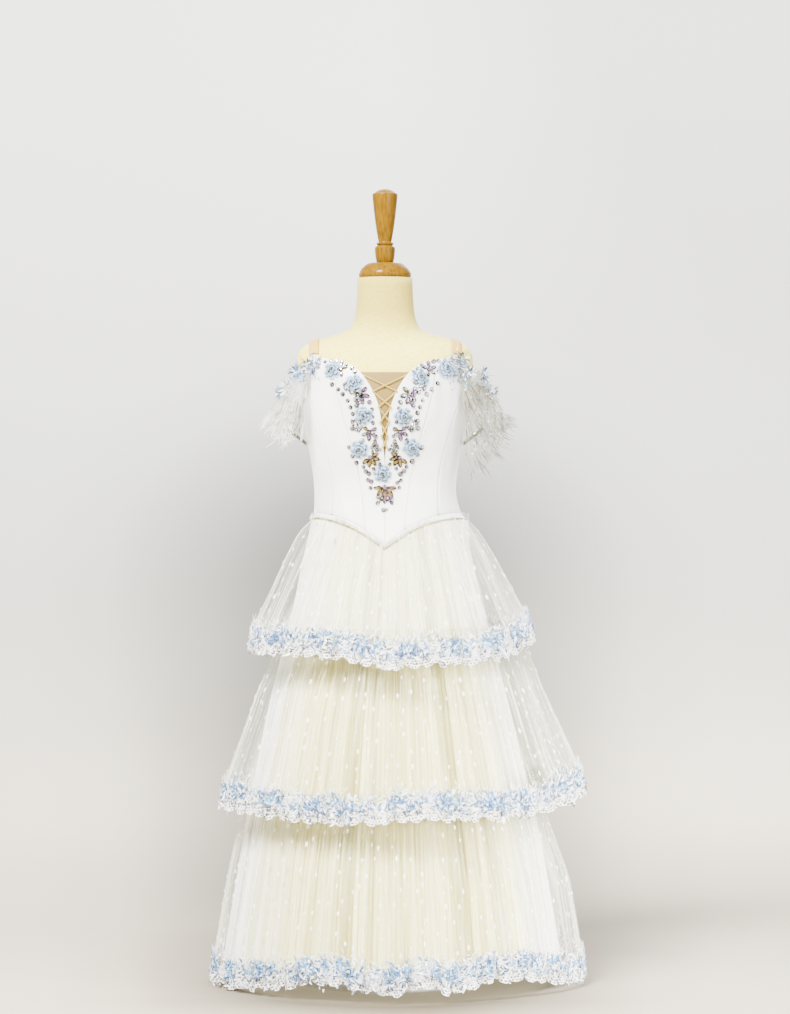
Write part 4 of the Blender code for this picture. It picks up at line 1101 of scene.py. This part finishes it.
def leaf_points(length, width, turn, lift):
    """A pointed leaf that starts at the origin: edges low, middle raised, tip lifted."""
    half, ridge = width / 2, width * LEAF_RIDGE
    flat = np.array([
        (0.0, 0.0, 0.0),
        (0.35, half, 0.0), (0.35, 0.0, ridge), (0.35, -half, 0.0),
        (0.72, 0.8 * half, 0.0), (0.72, 0.0, ridge), (0.72, -0.8 * half, 0.0),
        (1.0, 0.0, 0.0),
    ])
    along, aside = flat[:, 0] * length, flat[:, 1]
    up = flat[:, 2] + lift * flat[:, 0] ** 2 * length
    return np.stack([along * cos(turn) - aside * sin(turn), along * sin(turn) + aside * cos(turn), up], -1)


def ruffled(local, phase):
    """Lace points with the trim's own ruffles added, deepest at its lower edge."""
    along, up = local[:, 0], local[:, 1]
    hang = np.clip(1.0 - (up + LACE_DROP) / (LACE_RISE + LACE_DROP), 0.0, 1.0)
    turn = 2 * pi * along / LACE_RUFFLE_STEP + LACE_WANDER[0] * np.sin(along / LACE_WANDER[1] + phase)
    swing = LACE_RUFFLE * (0.25 + 0.75 * hang) * np.sin(turn)
    wave = LACE_WAVE * hang * np.sin(turn * 0.5 + phase)
    return local + np.stack([np.zeros_like(along), wave, swing + LACE_RUFFLE * 0.2], -1)


def lace_sprays(number, strip, repeats, thread):
    """Embroidered leaves scattered along a hem, thickest in the middle of each repeat."""
    rng = np.random.default_rng(SEEDS["lace"] + number)
    pitch = strip.length / repeats
    pile = Pile()
    for repeat in range(repeats):
        sway, rise = rng.uniform(-LACE_SWAY, LACE_SWAY), rng.uniform(*LACE_LIFTS)
        swell = 1 + rng.uniform(-LACE_SWELL, LACE_SWELL)
        for leaves in LACE_LEAVES:
            for _ in range(leaves.count):
                across = leaves.middle + sway + swell * leaves.spread * rng.normal()
                height = rise + leaves.height + leaves.depth * np.clip(rng.normal(), -2.0, 2.0)
                turned = rng.random() < LACE_TURNED
                turn = rng.uniform(0, 2 * pi) if turned else rng.normal(pi / 2, 0.8)
                length = leaves.length * rng.uniform(*LEAF_LENGTHS)
                points = leaf_points(length, leaves.width, turn, rng.uniform(0.0, LEAF_CURL))
                out = LACE_OUT + rng.uniform(0, LACE_THICKNESS)
                points += np.array([(repeat + across) * pitch, height, out])
                pile.add_leaf(points, leaves.tint, rng, 0.2)
    return pile.build(
        f"lace_sprays_{number}", thread, lambda points: strip.place(ruffled(points, number)), smooth=False,
    )


def lace_edging(number, strip, repeats, material):
    """The openwork ground under the sprays, scalloped along its lower edge."""
    columns = int(strip.length / EDGING_STEP)
    along = np.linspace(0, strip.length, columns, endpoint=False)
    turn = pi * along * repeats / strip.length
    low = -LACE_DROP + SCALLOP_DEPTH * (1 - np.abs(np.sin(turn * SCALLOPS_PER_REPEAT)) ** 0.6)
    high = LACE_RISE + 0.004 * np.sin(2 * turn)
    up = high + (low - high) * np.linspace(0, 1, EDGING_ROWS)[:, None]
    local = np.stack([np.broadcast_to(along, up.shape), up, np.full_like(up, LACE_OUT * 0.5)], -1)
    local = local.reshape(-1, 3)
    name, faces = f"lace_edging_{number}", grid_faces(EDGING_ROWS, columns, True)
    mesh = build_mesh(name, strip.place(ruffled(local, number)), faces, layout=local)
    return add_piece(name, mesh, material)


def lace_trim(number, strip, thread, edging):
    """A hem's sprays over their openwork ground, as one piece."""
    repeats = round(strip.length / LACE_REPEAT)
    sprays = lace_sprays(number, strip, repeats, thread)
    lace_edging(number, strip, repeats, edging).parent = sprays
    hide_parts(f"tier_lace_{number}")
    return sprays


def net_dots(number, shell, material):
    """Woven oval dots on a net, in staggered rows."""
    points = shell.points(out=DOT_LIFT)
    rng = np.random.default_rng(SEEDS["dots"] + number)
    pile = Pile()
    faces = [(DOT_CORNERS, k, (k + 1) % DOT_CORNERS) for k in range(DOT_CORNERS)]
    turns = np.arange(DOT_CORNERS)[:, None] * 2 * pi / DOT_CORNERS
    slant = np.linalg.norm(points[-1] - points[0], axis=1).mean()
    rows = round(slant / DOT_SPACING)
    for row in range(rows):
        spot = (row + 0.5 + rng.uniform(-DOT_ASTRAY[0], DOT_ASTRAY[0])) / rows * (SHELL_ROWS - 1)
        upper, part = int(spot), spot - int(spot)
        line = points[upper] * (1 - part) + points[upper + 1] * part
        ahead = unit(np.roll(line, -2, axis=0) - np.roll(line, 2, axis=0))
        below = unit(points[upper + 1] - points[upper])
        at = np.cumsum(np.linalg.norm(np.roll(line, -1, axis=0) - line, axis=1))
        for k in range(int(at[-1] / DOT_SPACING)):
            where = (k + 0.5 * (row % 2) + rng.uniform(-DOT_ASTRAY[1], DOT_ASTRAY[1])) * DOT_SPACING
            if rng.random() > DOT_KEPT:
                continue
            column = int(np.searchsorted(at, where % at[-1])) % len(line)
            side, down = ahead[column], below[column]
            centre = line[column] + down * rng.uniform(-DOT_DROP, DOT_DROP)
            out = np.cross(side, down)
            out *= np.sign(out[0] * (centre[0] - shell.centre) + out[1] * centre[1])
            wide = side * DOT_WIDTH / 2 * np.cos(turns)
            long = down * DOT_LENGTH / 2 * np.sin(turns)
            ring = centre + rng.uniform(*DOT_SIZES) * (wide + long)
            pile.add(np.vstack([ring, centre + out * DOT_THICKNESS]), faces, DOT_TINT)
    return pile.build(f"net_dots_{number}", material)


# ==== cords
def path_frame(path):
    """Directions across a path: one flat against the front, one out of it."""
    ahead = unit(np.gradient(path, axis=0))
    side = unit(np.cross(ahead, (0.0, -1.0, 0.0)))
    return side, np.cross(side, ahead)


def swept(path, radius, sides=6):
    """A round tube along points, with closed ends."""
    side, out = path_frame(path)
    turns = np.arange(sides) * 2 * pi / sides
    points = np.stack([path + radius * (cos(turn) * side + sin(turn) * out) for turn in turns], 1)
    points = points.reshape(-1, 3)
    faces = [tuple(face) for face in grid_faces(len(path), sides, True)]
    last = len(points) - sides
    faces += [tuple(range(sides)), tuple(last + k for k in reversed(range(sides)))]
    return points, faces


def twisted(path, radius, pitch):
    """Two strands wound round a path."""
    path = np.array(path, float)
    at = run_of(path)
    steps = np.linspace(0, at[-1], int(at[-1] / pitch * STRAND_SAMPLES))
    middle = read(steps, at, path)
    side, out = path_frame(middle)
    for start in (0.0, pi):
        turn = (2 * pi * steps / pitch + start)[:, None]
        yield middle + 0.95 * radius * (np.cos(turn) * side + np.sin(turn) * out)


def lacing_path(tree, side):
    """A cord's way down through the eyelets; the left one is raised where the two cross."""
    for k in range(len(EYELETS) - 1):
        low, high = EYELETS[k + 1], EYELETS[k]
        way = side if k % 2 == 0 else -side
        for step in range(STRAND_STEPS + (k == len(EYELETS) - 2)):
            share = step / STRAND_STEPS
            across = way * (high.across * (1 - share) - low.across * share)
            height = high.height * (1 - share) + low.height * share
            point, normal = surface_from_front(tree, across, height)
            crossing = np.exp(-((across / CROSSING_REACH) ** 2)) if side > 0 else 0.0
            yield point + normal * (CORD_LIFT + CROSSING_LIFT * crossing)


def make_lacing(tree, material):
    """Two cords that zigzag between the eyelets, one crossing over the other."""
    for side, letter in SIDES:
        pile = Pile()
        for strand in twisted(list(lacing_path(tree, side)), STRAND_RADIUS, STRAND_PITCH):
            pile.add(*swept(strand, STRAND_RADIUS), STRAND_TINT)
        cord = pile.build(f"twisted_cord_{letter}", material)
        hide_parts(f"lacing_{letter}")
        yield cord


# ==== roses and stones
def rose_petal(whorl, turn, rng):
    """A ruffled petal of a rose that faces +Z, as points and their shares of its length."""
    across = np.linspace(-1, 1, PETAL_COLUMNS)[None, :]
    along = np.linspace(0, 1, PETAL_ROWS)[:, None]
    root, reach = whorl.root * ROSE_RADIUS, whorl.reach * ROSE_RADIUS
    spread = PETAL_BREADTH * pi / whorl.petals
    radius = root + (reach - root) * along * (1 - PETAL_ROUNDED * np.abs(across) ** 3 * along)
    angle = turn + spread * across * (0.55 + 0.45 * along)
    ruffle = PETAL_RUFFLE * along ** 2 * np.sin(across * 4.2 + rng.uniform(0, 6))
    height = whorl.height + whorl.cup * along ** 0.8 - 0.9 * whorl.cup * along ** 4 + ruffle
    height = height + PETAL_SLANT * across
    points = np.stack([radius * np.cos(angle), radius * np.sin(angle), height], -1)
    return points.reshape(-1, 3), np.broadcast_to(along, height.shape).reshape(-1)


def node_seat(node, tree, turn=0.0, away=(0, 0, 0)):
    """A frame on the surface under the middle of a CAD node, seen from the front."""
    low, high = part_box(node)
    return seat(*surface_from_front(tree, (low[0] + high[0]) / 2, (low[2] + high[2]) / 2), turn, away)


def make_rose(number, tree, material):
    """A silk rose over its solid: three rings of petals, painted pale at their edges as a highlight and
    dark at their roots as shade between the petals.
    """
    rng = np.random.default_rng(SEEDS["rose"] + number)
    matrix = node_seat(f"rose_{number}", tree, rng.uniform(0, 90))
    quads = grid_faces(PETAL_ROWS, PETAL_COLUMNS)
    points, faces, shares = [], [], []
    for whorl in WHORLS:
        for k in range(whorl.petals):
            turn = 2 * pi * (k + rng.uniform(-0.1, 0.1)) / whorl.petals + radians(whorl.turn)
            petal, down = rose_petal(whorl, turn, rng)
            faces += (quads + len(petal) * len(points)).tolist()
            points.append(petal)
            shares.append(down)
    # painted highlight at the petals' edges, painted shade at their roots
    tint = ROSE_ROOT_SHADE + (ROSE_LIT_EDGE - ROSE_ROOT_SHADE) * np.concatenate(shares)[:, None] ** ROSE_DEEPENS
    tint = np.column_stack([tint, np.ones(len(tint))])
    name, placed = f"silk_rose_{number}", place_points(matrix, np.concatenate(points))
    rose = add_piece(name, build_mesh(name, placed, faces, tint=tint), material)
    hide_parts(f"rose_{number}")
    return rose


def cut_stone(pile, matrix, length, width, tint, rng):
    """A faceted stone facing +Z: a ring of crown facets round a table, each with its own painted glint."""
    def facet(corners, glint):
        shade = np.clip(np.array(STONE_TINTS[tint]) * glint, 0, 1)
        pile.add(place_points(matrix, corners), [range(len(corners))], shade)

    turns = np.arange(STONE_SIDES) * 2 * pi / STONE_SIDES + pi / STONE_SIDES * (length == width)
    point = 1.0 if length == width else STONE_POINTED
    rim = np.stack([
        length / 2 * np.sign(np.cos(turns)) * np.abs(np.cos(turns)) ** point,
        width / 2 * np.sin(turns),
        np.full(STONE_SIDES, STONE_RIM),
    ], -1)
    girdle = rim * STONE_GIRDLE
    crown = rim * STONE_CROWN + (0, 0, STONE_HEIGHT * width)
    top = np.mean(crown, axis=0) + (0, 0, STONE_PEAK * width)
    for k in range(STONE_SIDES):
        after = (k + 1) % STONE_SIDES
        # the dark setting ring with painted shade, then crown and table facets with painted glints
        facet([girdle[k], girdle[after], rim[after], rim[k]], SETTING_AND_SHADE)
        facet([rim[k], rim[after], crown[after], crown[k]], rng.choice(CROWN_GLINTS))
        facet([crown[k], crown[after], top], rng.choice(TABLE_GLINTS))


def centre_seat(tree, height):
    """A place on the centre seam, level with the panels beside it."""
    sides = [surface_from_front(tree, side * CENTRE_REACH, height) for side in (1, -1)]
    return (sides[0][0] + sides[1][0]) / 2, (sides[0][1] + sides[1][1]).normalized()


def add_spray(pile, tree, spray, side, rng):
    """A fan of stones, mirrored for the wearer's right side."""
    turn = spray.turn if side > 0 else 180 - spray.turn
    if spray.across == 0:
        seated = centre_seat(tree, spray.height)
    else:
        seated = surface_from_front(tree, side * spray.across, spray.height)
    for stone in FANS[spray.kind]:
        away, length, width = (spray.scale * value for value in (stone.distance, stone.length, stone.width))
        for way, tint in zip((1, -1), stone.tints.split()):
            matrix = seat(*seated, turn + way * stone.lean, (away, 0, 0.0006))
            cut_stone(pile, matrix, length, width, tint, rng)


def add_stone_line(pile, tree, line, side, rng):
    """Round stones at even steps along a line, each a little off its place."""
    points = np.array(line.points)
    at = run_of(points)
    steps = np.linspace(0, at[-1], max(2, round(at[-1] / line.spacing) + 1))
    for spot in read(steps, at, points):
        across, height = spot + rng.uniform(-0.0012, 0.0012, 2)
        seated = surface_from_front(tree, side * across, height)
        matrix = seat(*seated, rng.uniform(0, 360), (0, 0, 0.0005))
        size = line.size * rng.uniform(0.85, 1.2)
        cut_stone(pile, matrix, size, size, line.tint, rng)


def make_stones(tree, material):
    """Sprays and lines of cut stones, the same on both sides, around the roses, and the roses' beads."""
    rng = np.random.default_rng(SEEDS["stones"])
    pile = Pile()
    for side, _ in SIDES:
        for spray in SPRAYS:
            if spray.across > 0 or side > 0:
                add_spray(pile, tree, spray, side, rng)
        for line in STONE_LINES:
            add_stone_line(pile, tree, line, side, rng)
    for number in ROSES:
        matrix = node_seat(f"rose_{number}", tree, away=(0, 0, ROSE_BEAD_LIFT))
        cut_stone(pile, matrix, ROSE_BEAD, ROSE_BEAD, "smoke", rng)
    stones = pile.build("cut_stones", material, smooth=False)
    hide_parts(*[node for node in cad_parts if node.startswith("drop_stone")])
    return stones


# ==== sleeves
def sleeve_surface(edges, places, level):
    """Points of a sleeve at a level, 0 at its top edge and 1 at its hem, facing +X."""
    edges = np.array(edges)
    top, hem = (read(places, edges[:, 0], part) for part in (edges[:, 1:4], edges[:, 4:7]))
    points = top + (hem - top) * level
    spread = len(places) // 20
    if spread > 1:
        before = 2 * points[:1] - points[spread:0:-1]
        after = 2 * points[-1:] - points[-2:-spread - 2:-1]
        padded = np.concatenate([before, points, after])
        weights = np.hanning(2 * spread + 1)
        weights /= weights.sum()
        points = np.stack([np.convolve(column, weights, "valid") for column in padded.T], -1)
    return points


def sleeve_normals(points):
    """Level directions out of a row of a sleeve."""
    ahead = np.gradient(points, axis=0)
    return unit(np.stack([ahead[:, 1], -ahead[:, 0], 0 * ahead[:, 0]], -1))


def ruffle_point(ruffle, place, level, out):
    """A point on a ruffle and the direction out of it."""
    places = np.linspace(0, 1, 61)
    line = sleeve_surface(ruffle.table, places, level)
    point, normal = (read(place, places, rows) for rows in (line, sleeve_normals(line)))
    point += normal * (out + ruffle.out)
    mirror = (ruffle.side, 1, 1)
    return Vector(point * mirror), Vector(normal * mirror)


def make_ruffle(ruffle, material):
    """A gathered net ruffle: wide gathers, fine pleats and an uneven hem."""
    rng = np.random.default_rng(ruffle.seed)
    places = np.linspace(0, 1, SLEEVE_COLUMNS)
    levels = np.linspace(0, 1, SLEEVE_ROWS)
    starts = rng.uniform(0, 2 * pi, 4)
    tatters = 3 * ruffle.pleats
    rough = np.interp(places, np.linspace(0, 1, tatters), rng.uniform(*SLEEVE_TATTERS, tatters))
    rows, fans = [], []
    for level in levels:
        reach = level * ruffle.length
        fan = places + SLEEVE_FAN * (1 - reach) * np.sin(2 * pi * places) - ruffle.lean * reach
        fine = np.sin(2 * pi * ruffle.pleats * fan + starts[0] + 2.0 * np.sin(7 * fan + starts[1]))
        fine += FINER_PLEATS[1] * np.sin(2 * pi * FINER_PLEATS[0] * ruffle.pleats * fan + starts[2])
        line = sleeve_surface(ruffle.table, places, reach)
        below = sleeve_surface(ruffle.table, places, reach + HEM_LOOK_AHEAD)
        gather = -SLEEVE_FOLD * reach ** 0.7 * np.cos(2 * pi * SLEEVE_GATHERS * fan)
        pleat = ruffle.depth * (0.3 + 0.7 * level) * fine
        line = line + sleeve_normals(line) * (gather + pleat + ruffle.out)[:, None]
        ragged = ruffle.ragged * rough * level ** 3 * ruffle.length
        rows.append(line + (below - line) / HEM_LOOK_AHEAD * ragged[:, None])
        fans.append(fan)
    points, fans = np.stack(rows) * (ruffle.side, 1, 1), np.stack(fans)
    if ruffle.side < 0:
        points, fans = points[:, ::-1], fans[:, ::-1]
    down = np.broadcast_to(levels[:, None] * ruffle.length, fans.shape)
    # the second place of around carries the ruffle's painted shade
    around = np.stack([fans * 1.3 + ruffle.seed, np.full_like(fans, ruffle.shade), down], -1)
    faces = grid_faces(SLEEVE_ROWS, SLEEVE_COLUMNS)
    mesh = build_mesh(ruffle.name, points.reshape(-1, 3), faces, around=around.reshape(-1, 3))
    return add_piece(ruffle.name, mesh, material)


def add_sprig(pile, ruffle, sprig, rng):
    """A flower of lace leaves, with thin dark whiskers between them."""
    point, normal = ruffle_point(ruffle, sprig.place, sprig.level, 0.004)
    for k in range(sprig.leaves + sprig.whiskers):
        whisker = k >= sprig.leaves
        turn = rng.uniform(0, 360)
        away = rng.uniform(0.0, 0.55) * sprig.reach
        length = sprig.reach * rng.uniform(*(WHISKER_LENGTHS if whisker else SPRIG_LENGTHS))
        width = WHISKER_WIDTH if whisker else rng.uniform(*SPRIG_WIDTHS)
        matrix = seat(point, normal, turn, (away, 0, rng.uniform(0, 0.003)))
        leaf = leaf_points(length, width, rng.normal(0, 0.5), rng.uniform(0.1, 0.7))
        tint = sprig.tint if rng.random() < SPRIG_OWN else rng.choice(SPRIG_TINTS)
        pile.add_leaf(place_points(matrix, leaf), "deep" if whisker else tint, rng)


def make_sleeve_lace(side, letter, ruffle, material):
    """Leafy sprigs and a line of small leaves along a sleeve's top edge."""
    rng = np.random.default_rng(SEEDS["sleeve"] + side)
    pile = Pile()
    for sprig in SPRIGS:
        if sprig.side == side:
            add_sprig(pile, ruffle, sprig, rng)
    for _ in range(SLEEVE_EDGE_LEAVES):
        place, level = rng.uniform(0, 1), rng.uniform(-0.03, 0.14)
        matrix = seat(*ruffle_point(ruffle, place, level, 0.002))
        leaf = leaf_points(rng.uniform(0.004, 0.008), 0.0022, rng.uniform(0, 6.3), rng.uniform(0, 0.5))
        pile.add_leaf(place_points(matrix, leaf), rng.choice(SLEEVE_EDGE_TINTS), rng)
    lace = pile.build(f"sleeve_sprays_{letter}", material, smooth=False)
    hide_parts(f"sleeve_lace_{letter}")
    return lace


def add_wisp(pile, ruffle, wisps, rng):
    """A thread that starts on a ruffle and points down its pleats."""
    place, level = rng.uniform(wisps.first, wisps.last), rng.uniform(wisps.low, wisps.high)
    point, normal = ruffle_point(ruffle, place, level, 0.0015 + rng.uniform(0, 0.003))
    back = min(level, 0.3)
    above, _ = ruffle_point(ruffle, place - 1.2 * ruffle.lean * back, level - back - 0.01, 0.0)
    fall = (point - above).normalized()
    turned = Matrix((fall, normal.cross(fall), normal)).transposed()
    length = wisps.length * rng.uniform(0.5, 1.2)
    leaf = leaf_points(length, wisps.width, rng.normal(0, wisps.spread), rng.uniform(-0.1, 0.3))
    pile.add_leaf(place_points(Matrix.Translation(point) @ turned.to_4x4(), leaf), wisps.tint, rng)


def make_wisps(side, letter, ruffle, material):
    """Loose threads that follow a sleeve's pleats down and past its hem."""
    rng = np.random.default_rng(SEEDS["wisps"] + side)
    pile = Pile()
    for wisps in WISPS:
        for _ in range(wisps.count if wisps.side == side else 0):
            add_wisp(pile, ruffle, wisps, rng)
    return pile.build(f"sleeve_wisps_{letter}", material, smooth=False)


def make_corner_lace(tree, material):
    """Small silver and blue leaves on the bodice's corners, under the straps."""
    rng = np.random.default_rng(SEEDS["corners"])
    pile = Pile()
    for corner in CORNERS:
        for _ in range(corner.count):
            share = rng.uniform(0, 1)
            spot = np.array(corner.top) * (1 - share) + np.array(corner.low) * share
            across, height = spot + rng.normal(0, corner.spread, 2)
            start = Vector((corner.side * across, -1, height))
            point, _, _, _ = tree.ray_cast(start, Vector((0, 1, 0)))
            if point is None or point.y > 0:
                continue
            seated = surface_from_front(tree, corner.side * across, height)
            matrix = seat(*seated, rng.uniform(0, 360), (0, 0, rng.uniform(0.0008, 0.003)))
            leaf = leaf_points(rng.uniform(0.004, 0.010), 0.0019, 0.0, rng.uniform(0, 0.5))
            pile.add_leaf(place_points(matrix, leaf), rng.choice(CORNER_TINTS), rng)
    return pile.build("corner_lace", material, smooth=False)


def make_sleeves(net, lace, elastic):
    """Each sleeve's two ruffles, their lace and threads, and its arm band."""
    for side, letter in SIDES:
        ruffles = [ruffle for ruffle in RUFFLES if ruffle.side == side]
        made = [make_ruffle(ruffle, net) for ruffle in ruffles]
        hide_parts(f"sleeve_ruffle_{letter}")
        yield from made
        yield make_sleeve_lace(side, letter, ruffles[1], lace)
        yield make_wisps(side, letter, ruffles[0], lace)
        yield refined(f"arm_elastic_{letter}", f"sleeve_band_{letter}", elastic)


# ==== stage
def make_camera():
    """The photo's camera, level and facing +Y."""
    camera = bpy.data.objects.new("camera", bpy.data.cameras.new("camera"))
    bpy.context.scene.collection.objects.link(camera)
    camera.data.lens = SENSOR * PIXELS_PER_METRE_AT_1M / PHOTO_SIZE[1]
    camera.data.sensor_width = SENSOR
    camera.location = CAMERA_AT
    camera.rotation_euler = (pi / 2, 0, 0)
    bpy.context.scene.camera = camera


def make_lights():
    """A pale sky and the studio's lamps."""
    world = bpy.data.worlds.new("studio")
    world.use_nodes = True
    sky = world.node_tree.nodes["Background"]
    sky.inputs["Color"].default_value = (*SKY, 1.0)
    sky.inputs["Strength"].default_value = SKY_STRENGTH
    bpy.context.scene.world = world
    for lamp in LAMPS:
        light = bpy.data.lights.new(lamp.name, "AREA")
        light.size = lamp.size
        light.energy = lamp.power
        light.spread = radians(lamp.spread)
        light.color = lamp.colour
        item = bpy.data.objects.new(lamp.name, light)
        bpy.context.scene.collection.objects.link(item)
        item.location = lamp.place
        aim = Vector(lamp.target) - Vector(lamp.place)
        item.rotation_euler = aim.to_track_quat("-Z", "Y").to_euler()


def make_stage():
    """A round floor that sweeps up into a low wall, pale from every side."""
    profile = [(0.0, 0.0), (STUDIO_FLOOR, 0.0)]
    sweep = STUDIO_REACH - STUDIO_FLOOR
    for k in range(1, STUDIO_STEPS + 1):
        turn = pi / 2 * k / STUDIO_STEPS
        profile.append((STUDIO_FLOOR + sweep * sin(turn), STUDIO_SWEEP * (1 - cos(turn))))
    profile.append((STUDIO_REACH, STUDIO_HEIGHT))
    turns = np.arange(STUDIO_COLUMNS) * 2 * pi / STUDIO_COLUMNS
    points = [
        (reach * cos(turn), reach * sin(turn), height) for reach, height in profile[::-1] for turn in turns
    ]
    mesh = build_mesh("studio", points, grid_faces(len(profile), STUDIO_COLUMNS, True))
    add_piece("studio", mesh, stage_material())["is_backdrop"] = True


# ==== the tutu and its dress form
def make_form():
    """The dress form and its stand."""
    linen, wood = linen_material(), wood_material()
    steel = worn_material("steel_pole", (0.55, 0.56, 0.58), 0.3, 1.0, 60.0)
    paint = worn_material("painted_base", (0.72, 0.72, 0.70), 0.45, 0.0, 25.0)
    return [
        refined("torso", "form_torso", linen, 2, 60.0, 1.0),
        refined("neck_cap", "form_neck_cap", wood, 2, 34.0, 0.75),
        refined("finial", "form_finial", wood, 2, 30.0, 0.75),
        refined("pole", "form_pole", steel, 1),
        refined("base", "form_base", paint, 1),
    ]


def make_bodice(thread):
    """The bodice with its straps, and the trimming that is laid on what shows of it from the front."""
    satin = satin_material()
    panels = [
        refined(node.replace("bodice", "satin"), node, satin)
        for node in sorted(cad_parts) if node.startswith("bodice_")
    ]
    band = refined("waist_piping", "waist_band", satin, 2, 38.0, 0.35)
    insert = refined("mesh_insert", "plunge_insert", mesh_insert_material())
    nude = elastic_material("nude_elastic", (0.46, 0.27, 0.04), (0.68, 0.43, 0.08))
    straps = [refined(f"shoulder_elastic_{letter}", f"strap_{letter}", nude) for letter in "LR"]
    front = tree_of(panels + [insert])
    cord = tinted_material("golden_cord", 0.45, 1600.0, Sheen_Weight=0.3)
    silk = tinted_material("rose_silk", 0.5, 500.0, Sheen_Weight=0.4)
    return [
        *panels, band, insert, *straps,
        *make_lacing(front, cord),
        *[make_rose(number, front, silk) for number in ROSES],
        make_stones(front, stone_material()),
        make_corner_lace(tree_of(panels + straps), thread),
    ]


def make_skirt(thread):
    """The underskirt, and over it three nets with their dots and lace."""
    nodes = ["underskirt_front", "underskirt_back"]
    underskirt = Shell(nodes, UNDERSKIRT_PLEATING, TOP_RISE)
    yield underskirt.build("underskirt_cloth", underskirt_material())
    # the lower nets are painted much darker at their tops, in the shade of the hem above
    nets = [
        net_material("dotted_net", (0.92, 0.92, 0.88), (0.97, 0.96, 0.84)),
        net_material("dotted_net_under", (0.36, 0.35, 0.22), (0.94, 0.915, 0.62)),
    ]
    edging = edging_material()
    for number, pleating in enumerate(TIERS, 1):
        nodes = [f"tier_net_{number}_front", f"tier_net_{number}_back"]
        shell = Shell(nodes, pleating, TOP_RISE if number == 1 else 0.0)
        yield shell.build(f"net_tier_{number}", nets[number > 1])
        yield net_dots(number, shell, thread)
        yield lace_trim(number, HemStrip(shell), thread, edging)


def declare_cloth(pieces):
    """Looks up the pieces sewn to each cloth of the cuts table; nothing more is done with them or with the
    other pieces.
    """
    named = {piece.name: piece for piece in pieces}
    for cut in CUTS:
        for name in [cut.piece.format(letter) for letter in "LR"] if "{" in cut.piece else [cut.piece]:
            trims = [named[trim] for trim in TRIMS.get(name, ())]
    for piece in pieces:
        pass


def main():
    """Builds the scene, and states what its pieces ride on."""
    make_camera()
    make_lights()
    make_stage()
    pieces = make_form()
    thread = tinted_material("embroidery", 0.42, 900.0, Sheen_Weight=0.25)
    pieces += make_bodice(thread)
    olive = elastic_material("olive_elastic", (0.024, 0.018, 0.002), (0.07, 0.054, 0.008))
    pieces += make_sleeves(sleeve_net_material(), thread, olive)
    pieces += make_skirt(thread)
    for piece in pieces:
        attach(piece, "root")
    declare_cloth(pieces)
    boxes = {"cad": CAD_BOX, "visual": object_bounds()}
    {key: [list(corner) for corner in box] for key, box in boxes.items()}


main()
